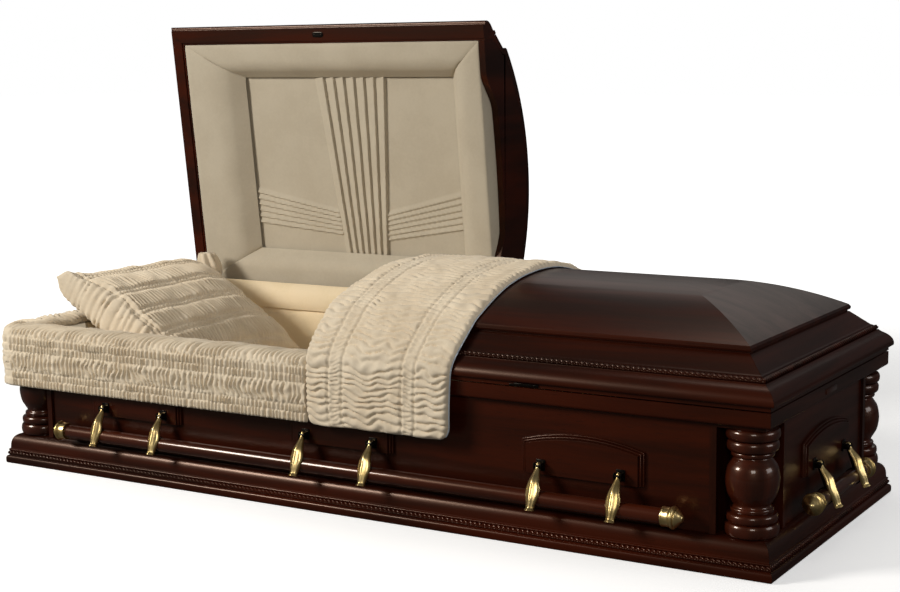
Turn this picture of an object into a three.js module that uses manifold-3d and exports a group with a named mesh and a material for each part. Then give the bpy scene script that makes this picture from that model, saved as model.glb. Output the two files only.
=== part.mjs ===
// A half-couch wooden casket with its head lid open and its foot lid closed.
// Millimetres, +Z up. +X runs towards the foot end, -Y is the front, the floor is at z = 0.
import * as THREE from 'three';
import { mergeVertices } from 'three/addons/utils/BufferGeometryUtils.js';
import Module from 'manifold-3d';

const wasm = await Module();
wasm.setup();

// Driving dimensions of the case
const LENGTH = 2130; // over the base moulding
const WIDTH = 800; // over the base moulding
const GAP = 0.3; // clearance between pieces that touch
const BASE_HEIGHT = 77; // floor to the deck that the walls stand on
const BASE_THICK = 40; // base moulding behind its carved face
const DECK_THICK = 15;
const BOTTOM_THICK = 20;
const WALL_HEIGHT = 234;
const WALL_INSET = 34; // wall face, in from the base moulding's edge
const WALL_THICK = 20;
const RAIL_HEIGHT = 34;
const RAIL_INSET = 12;
const RAIL_WIDTH = 48;
const SEAM = 2.5; // between the case's rail and the closed lids
const ROPE_RADIUS = 5.1;
const BASE_ROPE_HEIGHT = 27;

// Corners: a square notch with an L-shaped post and a turned column
const NOTCH = 148; // from the base moulding's edge to the wall's visible end
const POST_THICK = 15;
const STRIP_PROUD = 6;
const CAP_PLATE = 8; // plate that closes the notch over the column
const COLUMN_RADIUS = 56.5;
const COLUMN_INSET = 71.5;
const COLUMN_SIDES = 10;

// Lids
const SPLIT_X = -4; // plane between the head lid and the foot lid
const SPLIT_GAP = 4;
const LID_RAIL_HEIGHT = 99; // seam to the top of the sloping band
const LID_RAIL_WIDTH = 86; // nose to the inner edge of the sloping band
const LID_RAIL_THICK = 40;
const BAND_THICK = 7;
const CROWN_INSET = 83; // bead at the foot of the domed crown
const CROWN_LIP = 14.5;
const CROWN_RISE = 82.5;
const CROWN_THICK = 14;
const CROWN_POWER = 2.1; // how quickly the dome flattens
const HEADER_THICK = 18;
const HEADER_ARCH = 53; // height of the curved cut-out
const HEADER_ARCH_HALF = 268;
const LID_OPEN_DEG = 84;
const HINGE_INSET = 5.5;
const HINGE_RADIUS = 3.5;
const HINGE_LEAF_THICK = 1.5;
const KNUCKLE_LENGTH = 320;

// Arched panels and handles
const PANEL_WIDTH = 292;
const PANEL_UP = 80; // above the base moulding
const PANEL_SIDE = 73;
const PANEL_ARCH = 22;
const PANEL_STEP = 4; // each of three layers
const PANEL_REVEAL = 6.5;
const PANEL_SPACING = 626;
const ARM_SPACING = 190; // the two arms below one panel
const ARM_LENGTH = 106;
const ARM_TIP = 8; // arm's end above its pin
const ARM_WIDTH = 27;
const ARM_THICK = 9;
const ARM_OVER = 11; // arm's middle plane in front of the bar's axis
const PIVOT_UP = 21; // handle's pin above the panel's lower edge
const PIVOT_OUT = 25; // from the wall's face
const PIVOT_RADIUS = 2.5;
const CHEEK_THICK = 3;
const CHEEK_GAP = 6.8; // half of the slot between a lug's cheeks
const CHEEK_HALF = 9; // half of a cheek's height
const LUG_BASE = 3;
const LUG_HALF = 16; // half of the lug plate's height
const BAR_RADIUS = 17;
const BAR_DROP = 67; // bar's axis below the pins
const BAR_OUT = 39; // bar's axis from the wall's face
const BAR_HALF_LONG = 830;
const BAR_HALF_SHORT = 152;
const CAP_RADIUS = 24.5;
const CAP_LENGTH = 45;
const ROUND_SIDES = 8; // of a bar and its caps

// Soft parts
const MATTRESS_TOP = 185;
const LINING_INSET = 60.5;
const LINING_THICK = 24;
const LINING_TOP_DROP = 2; // below the case's rim
const EXTENSION_OUT = 13; // ruffle's face, outside the base moulding's edge
const EXTENSION_ROLL = 42; // padded roll above the rim
const EXTENSION_DROP = 130; // ruffle below the rim
const EXTENSION_REACH = 72; // roll's inner edge
const EXTENSION_CORNER = 26; // radius of the bend round the head corner, at the base moulding's edge
const EXTENSION_BACK_STOP = 70;
const THROW_RIGHT = 330;
const THROW_OVERHANG = 61; // past the lid's cut end
const THROW_THICK = 13;
const THROW_CLEAR = 3.5;
const THROW_DROP = 133; // throw's lower edge below the case's rim
const BORDER_FRONT = 98; // width of the puffed border inside the head lid
const BORDER_HEAD = 182;
const BORDER_CUT = 108;
const BORDER_DEPTH = 41;
const CAP_PANEL_THICK = 8;
const CAP_PANEL_LAP = 18;
const FOOT_LINING_UP = 39;
const FOOT_LINING_THICK = 5;
const PILLOW_HALF = [205, 248, 62]; // up the slope, across the case, through
const PILLOW_SQUARE = 0.8; // 0 gives an oval pillow, 1 a square one
const PILLOW_TILT_DEG = 31;
const PILLOW_CENTRE = [-764, -6, 346];

// Levels and faces worked out from the driving dimensions
const Z_RAIL = BASE_HEIGHT + WALL_HEIGHT;
const Z_RIM = Z_RAIL + RAIL_HEIGHT;
const Z_LID = Z_RIM + SEAM;
const Z_BAND = Z_LID + LID_RAIL_HEIGHT;
const Z_LIP = Z_BAND + CROWN_LIP;
const HALF_L = LENGTH / 2;
const HALF_W = WIDTH / 2;
const MITRE = GAP * 0.8;
const Z_PANEL = BASE_HEIGHT + PANEL_UP;
const Z_PIVOT = Z_PANEL + PIVOT_UP;
const Z_BAR = Z_PIVOT - BAR_DROP;
const DECK_INSET = NOTCH + 4;
const LID_INNER = RAIL_INSET + LID_RAIL_THICK;
const BAND_INNER = LID_RAIL_WIDTH + 12;
const HEAD_CUT = SPLIT_X - SPLIT_GAP / 2;
const FOOT_CUT = SPLIT_X + SPLIT_GAP / 2;

const WOOD = { color: 0x3b140b, roughness: 0.34, metalness: 0 };
const DARK_WOOD = { color: 0x26100a, roughness: 0.4, metalness: 0 };
const BRASS = { color: 0xa8873a, roughness: 0.3, metalness: 1 };
const DARK_METAL = { color: 0x2b2420, roughness: 0.45, metalness: 1 };
const VELVET = { color: 0xcdbb9c, roughness: 0.95, metalness: 0 };
const CREPE = { color: 0xd2c8b0, roughness: 0.85, metalness: 0 };

const casket = new THREE.Group();
casket.name = 'casket';

// Shared geometry

function place(name, geometry, finish, parent = casket) {
  const mesh = new THREE.Mesh(geometry, new THREE.MeshStandardMaterial(finish));
  mesh.name = name;
  parent.add(mesh);
  return mesh;
}

function signedVolume(points, faces) {
  const cross = new THREE.Vector3();
  return faces.reduce((sum, [a, b, c]) => sum + points[a].dot(cross.crossVectors(points[b], points[c])), 0);
}

// A BufferGeometry from points and triangles, turned so that its faces point outwards
function closedGeometry(points, faces) {
  const outward = signedVolume(points, faces) > 0 ? faces : faces.map(([a, b, c]) => [a, c, b]);
  const geometry = new THREE.BufferGeometry();
  geometry.setAttribute('position', new THREE.Float32BufferAttribute(points.flatMap((p) => p.toArray()), 3));
  geometry.setIndex(outward.flat());
  return geometry;
}

// Triangles that fill a contour, each with the contour's own turn
function fill(contour) {
  const sense = Math.sign(THREE.ShapeUtils.area(contour));
  return THREE.ShapeUtils.triangulateShape(contour, []).map(([a, b, c]) => {
    const area = THREE.ShapeUtils.area([contour[a], contour[b], contour[c]]);
    return Math.sign(area) === sense ? [a, b, c] : [a, c, b];
  });
}

// Sweeps a closed profile of [inset, height] points through stations, each a function that places one point
function sweep(profile, stations, closed = false) {
  const points = stations.flatMap((station) => profile.map(([inset, height]) => station(inset, height)));
  const count = profile.length;
  const faces = [];
  const spans = closed ? stations.length : stations.length - 1;
  for (let s = 0; s < spans; s += 1) {
    const here = s * count;
    const next = ((s + 1) % stations.length) * count;
    for (let i = 0; i < count; i += 1) {
      const j = (i + 1) % count;
      faces.push([here + i, here + j, next + j], [here + i, next + j, next + i]);
    }
  }
  if (!closed) {
    const last = (stations.length - 1) * count;
    fill(profile.map(([inset, height]) => new THREE.Vector2(inset, height))).forEach(([a, b, c]) => {
      faces.push([a, c, b], [last + a, last + b, last + c]);
    });
  }
  return closedGeometry(points, faces);
}

function toSolid(geometry) {
  const bare = geometry.clone();
  bare.deleteAttribute('normal');
  bare.deleteAttribute('uv');
  const merged = mergeVertices(bare, 1e-4);
  return new wasm.Manifold(new wasm.Mesh({
    numProp: 3,
    vertProperties: new Float32Array(merged.attributes.position.array),
    triVerts: new Uint32Array(merged.index.array),
  }));
}

function toGeometry(solid) {
  const mesh = solid.getMesh();
  const geometry = new THREE.BufferGeometry();
  geometry.setAttribute('position', new THREE.BufferAttribute(new Float32Array(mesh.vertProperties), 3));
  geometry.setIndex(new THREE.BufferAttribute(new Uint32Array(mesh.triVerts), 1));
  return geometry;
}

function join(geometries) {
  return toGeometry(geometries.map(toSolid).reduce((whole, piece) => whole.add(piece)));
}

function cut(geometry, tool) {
  return toGeometry(toSolid(geometry).subtract(toSolid(tool)));
}

function box(low, high) {
  const size = high.map((value, axis) => value - low[axis]);
  const geometry = new THREE.BoxGeometry(...size);
  return geometry.translate(...low.map((value, axis) => value + size[axis] / 2));
}

// Stations round the casket's plan

const front = (x) => (inset, height) => new THREE.Vector3(x(inset), inset - HALF_W, height);
const back = (x) => (inset, height) => new THREE.Vector3(x(inset), HALF_W - inset, height);
const side = (end, y) => (inset, height) => new THREE.Vector3(end * (HALF_L - inset), y(inset), height);
const cornerX = (end) => (inset) => end * (HALF_L - inset - MITRE);
const cornerY = (hand) => (inset) => hand * (HALF_W - inset - MITRE);
const plane = (value) => () => value;
const corner = (end, hand) => (inset, height) => (
  new THREE.Vector3(end * (HALF_L - inset), hand * (HALF_W - inset), height));

// Four mitred lengths of one profile
function mitredFrame(name, profile, finish) {
  place(`${name}_front`, sweep(profile, [front(cornerX(-1)), front(cornerX(1))]), finish);
  place(`${name}_back`, sweep(profile, [back(cornerX(-1)), back(cornerX(1))]), finish);
  place(`${name}_head`, sweep(profile, [side(-1, cornerY(-1)), side(-1, cornerY(1))]), finish);
  place(`${name}_foot`, sweep(profile, [side(1, cornerY(-1)), side(1, cornerY(1))]), finish);
}

// The section of a rope moulding
function ropeSection(inset, height) {
  return Array.from({ length: 8 }, (_, k) => {
    const turn = (Math.PI * 2 * (k + 0.5)) / 8;
    return [inset + ROPE_RADIUS * Math.cos(turn), height + ROPE_RADIUS * Math.sin(turn)];
  });
}

// Case

const ropeInset = ROPE_RADIUS + 4.4;
const grooveDeep = ropeInset + ROPE_RADIUS + GAP;
const grooveLow = BASE_ROPE_HEIGHT - ROPE_RADIUS - GAP;
const grooveHigh = BASE_ROPE_HEIGHT + ROPE_RADIUS + GAP;

function baseMouldingProfile() {
  const coveLow = grooveHigh + 8;
  const coveRise = BASE_HEIGHT - coveLow;
  const cove = [[0, 0], [0.25, 0], [0.5, 1.5], [0.72, 5], [0.88, 10.5], [0.98, 17], [1, 22]];
  return [
    [3, 0], [0.8, 2], [0, 6], [0, 13], [1.6, grooveLow - 3], [7, grooveLow],
    [grooveDeep, grooveLow], [grooveDeep, grooveHigh], [7.4, grooveHigh], [5.8, grooveHigh + 2.6],
    [7.4, grooveHigh + 5.4],
    ...cove.map(([share, inset]) => [10 + inset, coveLow + coveRise * share]),
    [DECK_INSET, BASE_HEIGHT], [DECK_INSET, BASE_HEIGHT - DECK_THICK],
    [BASE_THICK, BASE_HEIGHT - DECK_THICK], [BASE_THICK, 0],
  ];
}

function buildBase() {
  const inX = HALF_L - BASE_THICK - GAP;
  const inY = HALF_W - BASE_THICK - GAP;
  place('bottom_board', box([-inX, -inY, 0], [inX, inY, BOTTOM_THICK]), DARK_WOOD);
  mitredFrame('base_moulding', baseMouldingProfile(), WOOD);
  const corners = [corner(-1, -1), corner(1, -1), corner(1, 1), corner(-1, 1)];
  place('base_rope', sweep(ropeSection(ropeInset, BASE_ROPE_HEIGHT), corners, true), WOOD);
}

function buildWalls() {
  const low = BASE_HEIGHT + GAP;
  const high = Z_RAIL - GAP;
  const endX = HALF_L - NOTCH - GAP;
  const endY = HALF_W - NOTCH - GAP;
  const outer = WALL_INSET;
  const inner = WALL_INSET + WALL_THICK;
  place('wall_front', box([-endX, outer - HALF_W, low], [endX, inner - HALF_W, high]), WOOD);
  place('wall_back', box([-endX, HALF_W - inner, low], [endX, HALF_W - outer, high]), WOOD);
  place('wall_head', box([outer - HALF_L, -endY, low], [inner - HALF_L, endY, high]), WOOD);
  place('wall_foot', box([HALF_L - inner, -endY, low], [HALF_L - outer, endY, high]), WOOD);
}

function topRailProfile() {
  const inner = RAIL_INSET + RAIL_WIDTH;
  return [
    [inner, Z_RAIL], [RAIL_INSET + 6, Z_RAIL], [RAIL_INSET + 2.2, Z_RAIL + 2], [RAIL_INSET + 0.5, Z_RAIL + 6],
    [RAIL_INSET, Z_RAIL + 12], [RAIL_INSET, Z_RIM], [inner, Z_RIM],
  ];
}

// An L-shaped post lines the notch, with a plate over the column and a block behind the rails
function postGeometry() {
  const strip = WALL_INSET - STRIP_PROUD;
  const arm = NOTCH - POST_THICK;
  const plateTop = Z_RAIL - GAP;
  const plateLow = plateTop - CAP_PLATE;
  const outline = new THREE.Shape([
    [arm, strip], [NOTCH, strip], [NOTCH, NOTCH], [strip, NOTCH], [strip, arm], [arm, arm],
  ].map(([u, v]) => new THREE.Vector2(u, v)));
  const low = BASE_HEIGHT + GAP;
  const walls = new THREE.ExtrudeGeometry(outline, { depth: plateTop - low, bevelEnabled: false });
  walls.translate(0, 0, low);
  const behind = RAIL_INSET + RAIL_WIDTH + GAP;
  const plate = box([strip, strip, plateLow], [NOTCH, NOTCH, plateTop]);
  const block = box([behind, behind, plateLow], [NOTCH, NOTCH, Z_RIM - GAP]);
  return join([walls, plate, block]);
}

// The turned column from its foot up, as shares of its radius and of its height
const COLUMN_TURNING = [
  [0, 0], [0.94, 0], [1, 0.04], [1, 0.09], [0.86, 0.127], [0.945, 0.155], [0.945, 0.2], [0.76, 0.228],
  [0.7, 0.29], [0.9, 0.38], [1, 0.523], [0.9, 0.666], [0.7, 0.757], [0.955, 0.815], [0.955, 0.86],
  [0.84, 0.892], [0.985, 0.925], [0.985, 0.965], [0.88, 1], [0, 1],
];

function buildCorners() {
  const floor = BASE_HEIGHT + GAP;
  const height = Z_RAIL - CAP_PLATE - 2 * GAP - floor;
  const points = COLUMN_TURNING.map(([out, up]) => new THREE.Vector2(out * COLUMN_RADIUS, up * height));
  const corners = [['head_front', -1, -1], ['foot_front', 1, -1], ['foot_back', 1, 1], ['head_back', -1, 1]];
  corners.forEach(([name, end, hand]) => {
    const geometry = postGeometry();
    const mirror = new THREE.Matrix4().makeScale(-end, -hand, 1);
    mirror.setPosition(end * HALF_L, hand * HALF_W, 0);
    geometry.applyMatrix4(mirror);
    place(`corner_post_${name}`, end * hand > 0 ? geometry : turnedInside(geometry), WOOD);
    const column = new THREE.LatheGeometry(points, COLUMN_SIDES);
    column.rotateX(Math.PI / 2);
    const mesh = place(`corner_column_${name}`, column, WOOD);
    mesh.position.set(end * (HALF_L - COLUMN_INSET), hand * (HALF_W - COLUMN_INSET), floor);
  });
}

// A mirrored geometry with its faces turned outwards again
function turnedInside(geometry) {
  const index = geometry.index.array;
  for (let i = 0; i < index.length; i += 3) {
    [index[i + 1], index[i + 2]] = [index[i + 2], index[i + 1]];
  }
  return geometry;
}

// Panels and handles, made for a wall that faces -Y with its face at y = 0

function archOutline(reveal) {
  const half = PANEL_WIDTH / 2 - reveal;
  const sideTop = Z_PANEL + PANEL_SIDE - reveal * 0.6;
  const rise = PANEL_ARCH - reveal * 0.4;
  const shape = new THREE.Shape();
  shape.moveTo(-half, Z_PANEL);
  shape.lineTo(half, Z_PANEL);
  shape.lineTo(half, sideTop);
  [0.5, 0, -0.5].forEach((share) => {
    shape.lineTo(half * share, sideTop + rise * (1 - share * share));
  });
  shape.lineTo(-half, sideTop);
  return shape;
}

function upright(shape, from, to) {
  const geometry = new THREE.ExtrudeGeometry(shape, { depth: to - from, bevelEnabled: false });
  return geometry.rotateX(Math.PI / 2).translate(0, -from, 0);
}

function lugPieces(x) {
  const face = PANEL_STEP * 3;
  const outer = CHEEK_GAP + CHEEK_THICK;
  const reach = PIVOT_OUT + PIVOT_RADIUS + 3;
  const plateLow = [x - outer - 2, -face - LUG_BASE, Z_PIVOT - LUG_HALF];
  const plate = box(plateLow, [x + outer + 2, -face + 1, Z_PIVOT + LUG_HALF]);
  const cheek = (from, to) => box([from, -reach, Z_PIVOT - CHEEK_HALF], [to, -face, Z_PIVOT + CHEEK_HALF]);
  const pin = new THREE.CylinderGeometry(PIVOT_RADIUS, PIVOT_RADIUS, 2 * CHEEK_GAP + CHEEK_THICK, 6);
  pin.rotateZ(Math.PI / 2).translate(x, -PIVOT_OUT, Z_PIVOT);
  return [plate, cheek(x - outer, x - CHEEK_GAP), cheek(x + CHEEK_GAP, x + outer), pin];
}

function panelGeometry() {
  const layers = [0, 1, 2].map((k) => upright(archOutline(PANEL_REVEAL * k), GAP, PANEL_STEP * (k + 1)));
  const lugs = [-1, 1].flatMap((hand) => lugPieces((hand * ARM_SPACING) / 2));
  return join([...layers, ...lugs]);
}

// The leaf-shaped arm's outline, as [share of its length from the tip, share of its width]
const LEAF = [[0, 0.12], [0.25, 0.42], [0.6, 1], [0.86, 0.66], [1, 0.72]];

// One arm: its tip hangs on the lug's pin, its middle covers the bar
function armGeometry(x) {
  const half = ARM_WIDTH / 2;
  const right = LEAF.map(([down, out]) => new THREE.Vector2(out * half, ARM_TIP - down * ARM_LENGTH));
  const left = [...right].reverse().map((p) => new THREE.Vector2(-p.x, p.y));
  const outline = new THREE.Shape([...right, ...left]);
  const leaf = new THREE.ExtrudeGeometry(outline, { depth: ARM_THICK, bevelEnabled: false });
  leaf.translate(0, 0, -ARM_THICK / 2);
  const bore = PIVOT_RADIUS + 2 * GAP;
  const hole = new THREE.CylinderGeometry(bore, bore, ARM_WIDTH, 6).rotateZ(Math.PI / 2);
  const hung = cut(leaf.rotateX(Math.PI / 2), hole);
  const lean = Math.atan2(BAR_OUT - PIVOT_OUT + ARM_OVER, BAR_DROP);
  return hung.rotateX(-lean).translate(x, -PIVOT_OUT, Z_PIVOT);
}

function capPieces(start, hand) {
  const turned = [
    [0, 0], [1, 0], [1, 0.14], [0.88, 0.18], [0.88, 0.6], [1, 0.65], [1, 0.76], [0.5, 0.87], [0.3, 1], [0, 1],
  ].map(([out, along]) => new THREE.Vector2(out * CAP_RADIUS, along * CAP_LENGTH));
  const cap = new THREE.LatheGeometry(turned, ROUND_SIDES).rotateZ((-hand * Math.PI) / 2);
  return cap.translate(hand * start, -BAR_OUT, Z_BAR);
}

function handleGeometry(barHalf, panels) {
  const bar = new THREE.CylinderGeometry(BAR_RADIUS, BAR_RADIUS, 2 * barHalf + 2, ROUND_SIDES);
  bar.rotateZ(Math.PI / 2).translate(0, -BAR_OUT, Z_BAR);
  const arms = panels.flatMap((x) => [-1, 1].map((hand) => armGeometry(x + (hand * ARM_SPACING) / 2)));
  return join([bar, capPieces(barHalf, -1), capPieces(barHalf, 1), ...arms]);
}

function buildSides() {
  const long = [-PANEL_SPACING, 0, PANEL_SPACING];
  const sides = [
    ['front', 0, 0, -(HALF_W - WALL_INSET), long, BAR_HALF_LONG],
    ['back', Math.PI, 0, HALF_W - WALL_INSET, long, BAR_HALF_LONG],
    ['foot', Math.PI / 2, HALF_L - WALL_INSET, 0, [0], BAR_HALF_SHORT],
    ['head', -Math.PI / 2, -(HALF_L - WALL_INSET), 0, [0], BAR_HALF_SHORT],
  ];
  sides.forEach(([name, turn, x, y, panels, barHalf]) => {
    const wall = new THREE.Group();
    wall.position.set(x, y, 0);
    wall.rotation.z = turn;
    casket.add(wall);
    panels.forEach((at, k) => {
      const label = panels.length > 1 ? `arched_panel_${name}_${k + 1}` : `arched_panel_${name}`;
      place(label, panelGeometry(), WOOD, wall).position.x = at;
    });
    place(`handle_${name}`, handleGeometry(barHalf, panels), BRASS, wall);
  });
}

// Lids, drawn closed

const noseTop = Z_LID + LID_RAIL_HEIGHT / 6;
const shelf = Z_LID + LID_RAIL_HEIGHT * 0.522; // ledge that carries the lid's rope
const innerBend = Z_LID + LID_RAIL_HEIGHT * 0.475; // where the rail's inner face leans in
const lidRopeInset = 37.7;
const lidRopeHeight = shelf + GAP + ROPE_RADIUS;

function lidRailProfile() {
  const bandLow = lidRopeInset + ROPE_RADIUS + GAP;
  return [
    [RAIL_INSET, Z_LID], [RAIL_INSET, Z_LID + 9], [3.6, Z_LID + 11], [2.4, noseTop], [4, noseTop + 8],
    [8.5, noseTop + 16], [16, noseTop + 23.5], [24, noseTop + 29], [30, shelf - 1.5], [32, shelf],
    [bandLow, shelf], [bandLow, shelf + 11.5], [LID_RAIL_WIDTH, Z_BAND], [BAND_INNER, Z_BAND],
    [BAND_INNER, Z_BAND - BAND_THICK], [LID_INNER + 10, innerBend + 10], [LID_INNER, innerBend],
    [LID_INNER, Z_LID + 3], [LID_INNER - 6, Z_LID + 3], [LID_INNER - 6, Z_LID],
  ];
}

// A hipped dome: rings of [inset, height] from its foot to its ridge, cut square at one end
function hipDome(end, cutX, rings) {
  const points = rings.flatMap(([inset, height]) => {
    const x = end * (HALF_L - inset);
    const y = HALF_W - inset;
    return [[cutX, -y], [x, -y], [x, y], [cutX, y]].map(([px, py]) => new THREE.Vector3(px, py, height));
  });
  const faces = [[0, 1, 2], [0, 2, 3]];
  for (let r = 0; r < rings.length - 1; r += 1) {
    for (let i = 0; i < 4; i += 1) {
      const a = r * 4 + i;
      const b = r * 4 + ((i + 1) % 4);
      faces.push([a, a + 4, b + 4], [a, b + 4, b]);
    }
  }
  const top = (rings.length - 1) * 4;
  faces.push([top, top + 3, top + 2], [top, top + 2, top + 1]);
  return closedGeometry(points, faces);
}

function domeHeight(share) {
  return CROWN_RISE * (1 - (1 - share) ** CROWN_POWER);
}

// The dome's rings end just short of its ridge line, so that it keeps a narrow flat there
function domeRings(inset, lift) {
  const shares = [0.03, 0.09, 0.18, 0.3, 0.45, 0.64, 0.985];
  const run = HALF_W - inset;
  return shares.map((share) => [inset + run * share, Z_LIP + lift + domeHeight(share)]);
}

function crownGeometry(end, cutX) {
  const lip = Z_BAND + GAP;
  const outer = hipDome(end, cutX, [
    [CROWN_INSET + 6, lip], [CROWN_INSET + 6, lip + 3], [CROWN_INSET + 1.2, lip + 5], [CROWN_INSET, lip + 9],
    [CROWN_INSET + 1.4, lip + 12.5], ...domeRings(CROWN_INSET, 0),
  ]);
  const inside = CROWN_INSET + 6 + CROWN_THICK * 0.8;
  const inner = hipDome(end, cutX - end * 60, [
    [inside, lip - 20], [inside, lip + 8], ...domeRings(inside, -CROWN_THICK),
  ]);
  return cut(outer, inner);
}

// The board that closes a lid's cut end: the lid's inner outline above, a curved cut-out below
function headerShape() {
  const inner = LID_INNER + GAP;
  const insideCrown = CROWN_INSET + 6 + CROWN_THICK * 0.8 + GAP;
  const throat = Math.max(insideCrown, BAND_INNER + GAP);
  const half = [
    [inner, Z_LID + GAP], [inner, innerBend], [LID_INNER + 10 + GAP, innerBend + 10 - GAP],
    [throat, Z_BAND - BAND_THICK - GAP], [throat, Z_BAND + 8 - GAP],
    ...domeRings(insideCrown, -CROWN_THICK - 1.5 * GAP),
  ].map(([inset, height]) => [inset - HALF_W, height]);
  const arch = Array.from({ length: 9 }, (_, k) => {
    const y = HEADER_ARCH_HALF * (1 - k / 8);
    const step = THREE.MathUtils.smoothstep(HEADER_ARCH_HALF - y, 0, HEADER_ARCH_HALF * 0.4);
    const crown = 1 - (y / HEADER_ARCH_HALF) ** 2;
    return [y, Z_LID + GAP + HEADER_ARCH * (0.75 * step + 0.25 * step * crown)];
  });
  const mirrored = (list) => list.map(([y, z]) => [-y, z]).reverse();
  return [...half, ...mirrored(half), ...arch, ...mirrored(arch.slice(0, -1))];
}

function headerGeometry(from, to) {
  const stations = [from, to].map((x) => (y, z) => new THREE.Vector3(x, y, z));
  return sweep(headerShape(), stations);
}

const hingeZ = Z_RIM + SEAM / 2;
const hingeY = HALF_W - HINGE_INSET;

const leafFace = HALF_W - RAIL_INSET + GAP; // back of the hinge's leaves
const CASE_LEAF = [Z_RIM - 20, Z_RIM - 1.5]; // lower and upper edge
const LID_LEAF = [Z_LID + 1.5, Z_LID + 8.5];

function leafPlate(from, to, [low, high]) {
  return box([from, leafFace, low], [to, leafFace + HINGE_LEAF_THICK, high]);
}

// A hinge's leaf between two ends, with a knuckle and its tab at every other place
function hingeLeaf(from, to, first, upward) {
  const pieces = [leafPlate(from, to, upward ? LID_LEAF : CASE_LEAF)];
  const count = Math.max(2, Math.floor((to - from) / KNUCKLE_LENGTH));
  const pitch = (to - from) / count;
  for (let k = first; k < count; k += 2) {
    const low = from + pitch * k + 1;
    const high = low + pitch - 2;
    const barrel = new THREE.CylinderGeometry(HINGE_RADIUS, HINGE_RADIUS, high - low, 6);
    pieces.push(barrel.rotateZ(Math.PI / 2).translate((low + high) / 2, hingeY, hingeZ));
    const tab = upward ? [hingeZ, Z_LID + 4] : [Z_RIM - 5, hingeZ];
    pieces.push(box([low, leafFace, tab[0]], [high, hingeY, tab[1]]));
  }
  return join(pieces);
}

// One lid: three lengths of rail, a crown, a rope, a header board and its half of the hinge
function buildLid(name, end, cutX, group) {
  const square = plane(cutX);
  const mitred = cornerX(end);
  const profile = lidRailProfile();
  place(`${name}_rail_front`, sweep(profile, [front(square), front(mitred)]), WOOD, group);
  place(`${name}_rail_back`, sweep(profile, [back(square), back(mitred)]), WOOD, group);
  place(`${name}_rail_end`, sweep(profile, [side(end, cornerY(-1)), side(end, cornerY(1))]), WOOD, group);
  place(`${name}_crown`, crownGeometry(end, cutX), WOOD, group);
  const section = ropeSection(lidRopeInset, lidRopeHeight);
  const path = [front(square), corner(end, -1), corner(end, 1), back(square)];
  place(`${name}_rope`, sweep(section, path), WOOD, group);
  place(`${name}_header`, headerGeometry(cutX, cutX + end * HEADER_THICK), WOOD, group);
  const [from, to] = [cutX + end * 20, end * (HALF_L - 60)].sort((a, b) => a - b);
  place(`${name}_hinge`, hingeLeaf(from, to, 0, true), DARK_METAL, group);
  return [from, to];
}

function buildCaseHinge(spans) {
  const [head, foot] = spans;
  const bridge = leafPlate(head[1] - 2, foot[0] + 2, CASE_LEAF);
  const leaves = spans.map(([from, to]) => hingeLeaf(from, to, 1, false));
  place('case_hinge', join([...leaves, bridge]), DARK_METAL);
}

// A flat ring between two rectangles: share 0 is the outer one, share 1 the inner one
function ringStations(outer, inner) {
  const pick = (a, b) => (share) => a + (b - a) * share;
  const cornersOf = [[0, 2], [1, 2], [1, 3], [0, 3]];
  return cornersOf.map(([ix, iy]) => {
    const x = pick(outer[ix], inner[ix]);
    const y = pick(outer[iy], inner[iy]);
    return (share, height) => new THREE.Vector3(x(share), y(share), height);
  });
}

function buildHeadLining(group) {
  const clear = 2 * GAP;
  const outer = [-(HALF_L - LID_INNER - clear), HEAD_CUT - HEADER_THICK - clear,
    -(HALF_W - LID_INNER - clear), HALF_W - LID_INNER - clear];
  const widths = [BORDER_HEAD, -BORDER_CUT, BORDER_FRONT, -BORDER_FRONT];
  const inner = outer.map((value, k) => value + widths[k]);
  const top = Z_LID + BORDER_DEPTH;
  const profile = [
    [0, Z_LID + 5], [0.12, Z_LID + 2], [0.4, Z_LID + 4], [0.7, Z_LID + 15], [0.92, Z_LID + 30], [1, top - 4],
    [1, top], [0.8, top], [0, Z_LID + 30],
  ];
  place('lid_border', sweep(profile, ringStations(outer, inner), true), CREPE, group);
  const low = [inner[0] - CAP_PANEL_LAP, inner[2] - CAP_PANEL_LAP, top + GAP];
  const high = [inner[1] + CAP_PANEL_LAP, inner[3] + CAP_PANEL_LAP, top + GAP + CAP_PANEL_THICK];
  place('lid_cap_panel', box(low, high), CREPE, group);
}

function buildFootLining(group) {
  const inset = LID_INNER + 2;
  const low = [FOOT_CUT + HEADER_THICK + 1, -(HALF_W - inset), Z_LID + FOOT_LINING_UP];
  const high = [HALF_L - inset, HALF_W - inset, Z_LID + FOOT_LINING_UP + FOOT_LINING_THICK];
  const board = box(low, high);
  place('foot_lid_lining', board, CREPE, group);
}

const latchX = { keeper: -HALF_L / 2, catch: HALF_L * 0.466 };

function buildLatch(headGroup, footGroup) {
  const oval = new THREE.Shape();
  oval.absellipse(0, 0, 18, 7.5, 0, Math.PI * 2);
  const keeper = new THREE.ExtrudeGeometry(oval, { depth: 1.3, bevelEnabled: false, curveSegments: 8 });
  keeper.translate(latchX.keeper, RAIL_INSET + 17 - HALF_W, Z_LID - GAP - 1.3);
  place('latch_keeper', keeper, BRASS, headGroup);
  const y = RAIL_INSET - GAP - HALF_W;
  const plate = box([latchX.catch - 38, y - 2.4, Z_LID + 1], [latchX.catch + 38, y, Z_LID + 8]);
  place('latch_catch', plate, DARK_METAL, footGroup);
}

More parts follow.
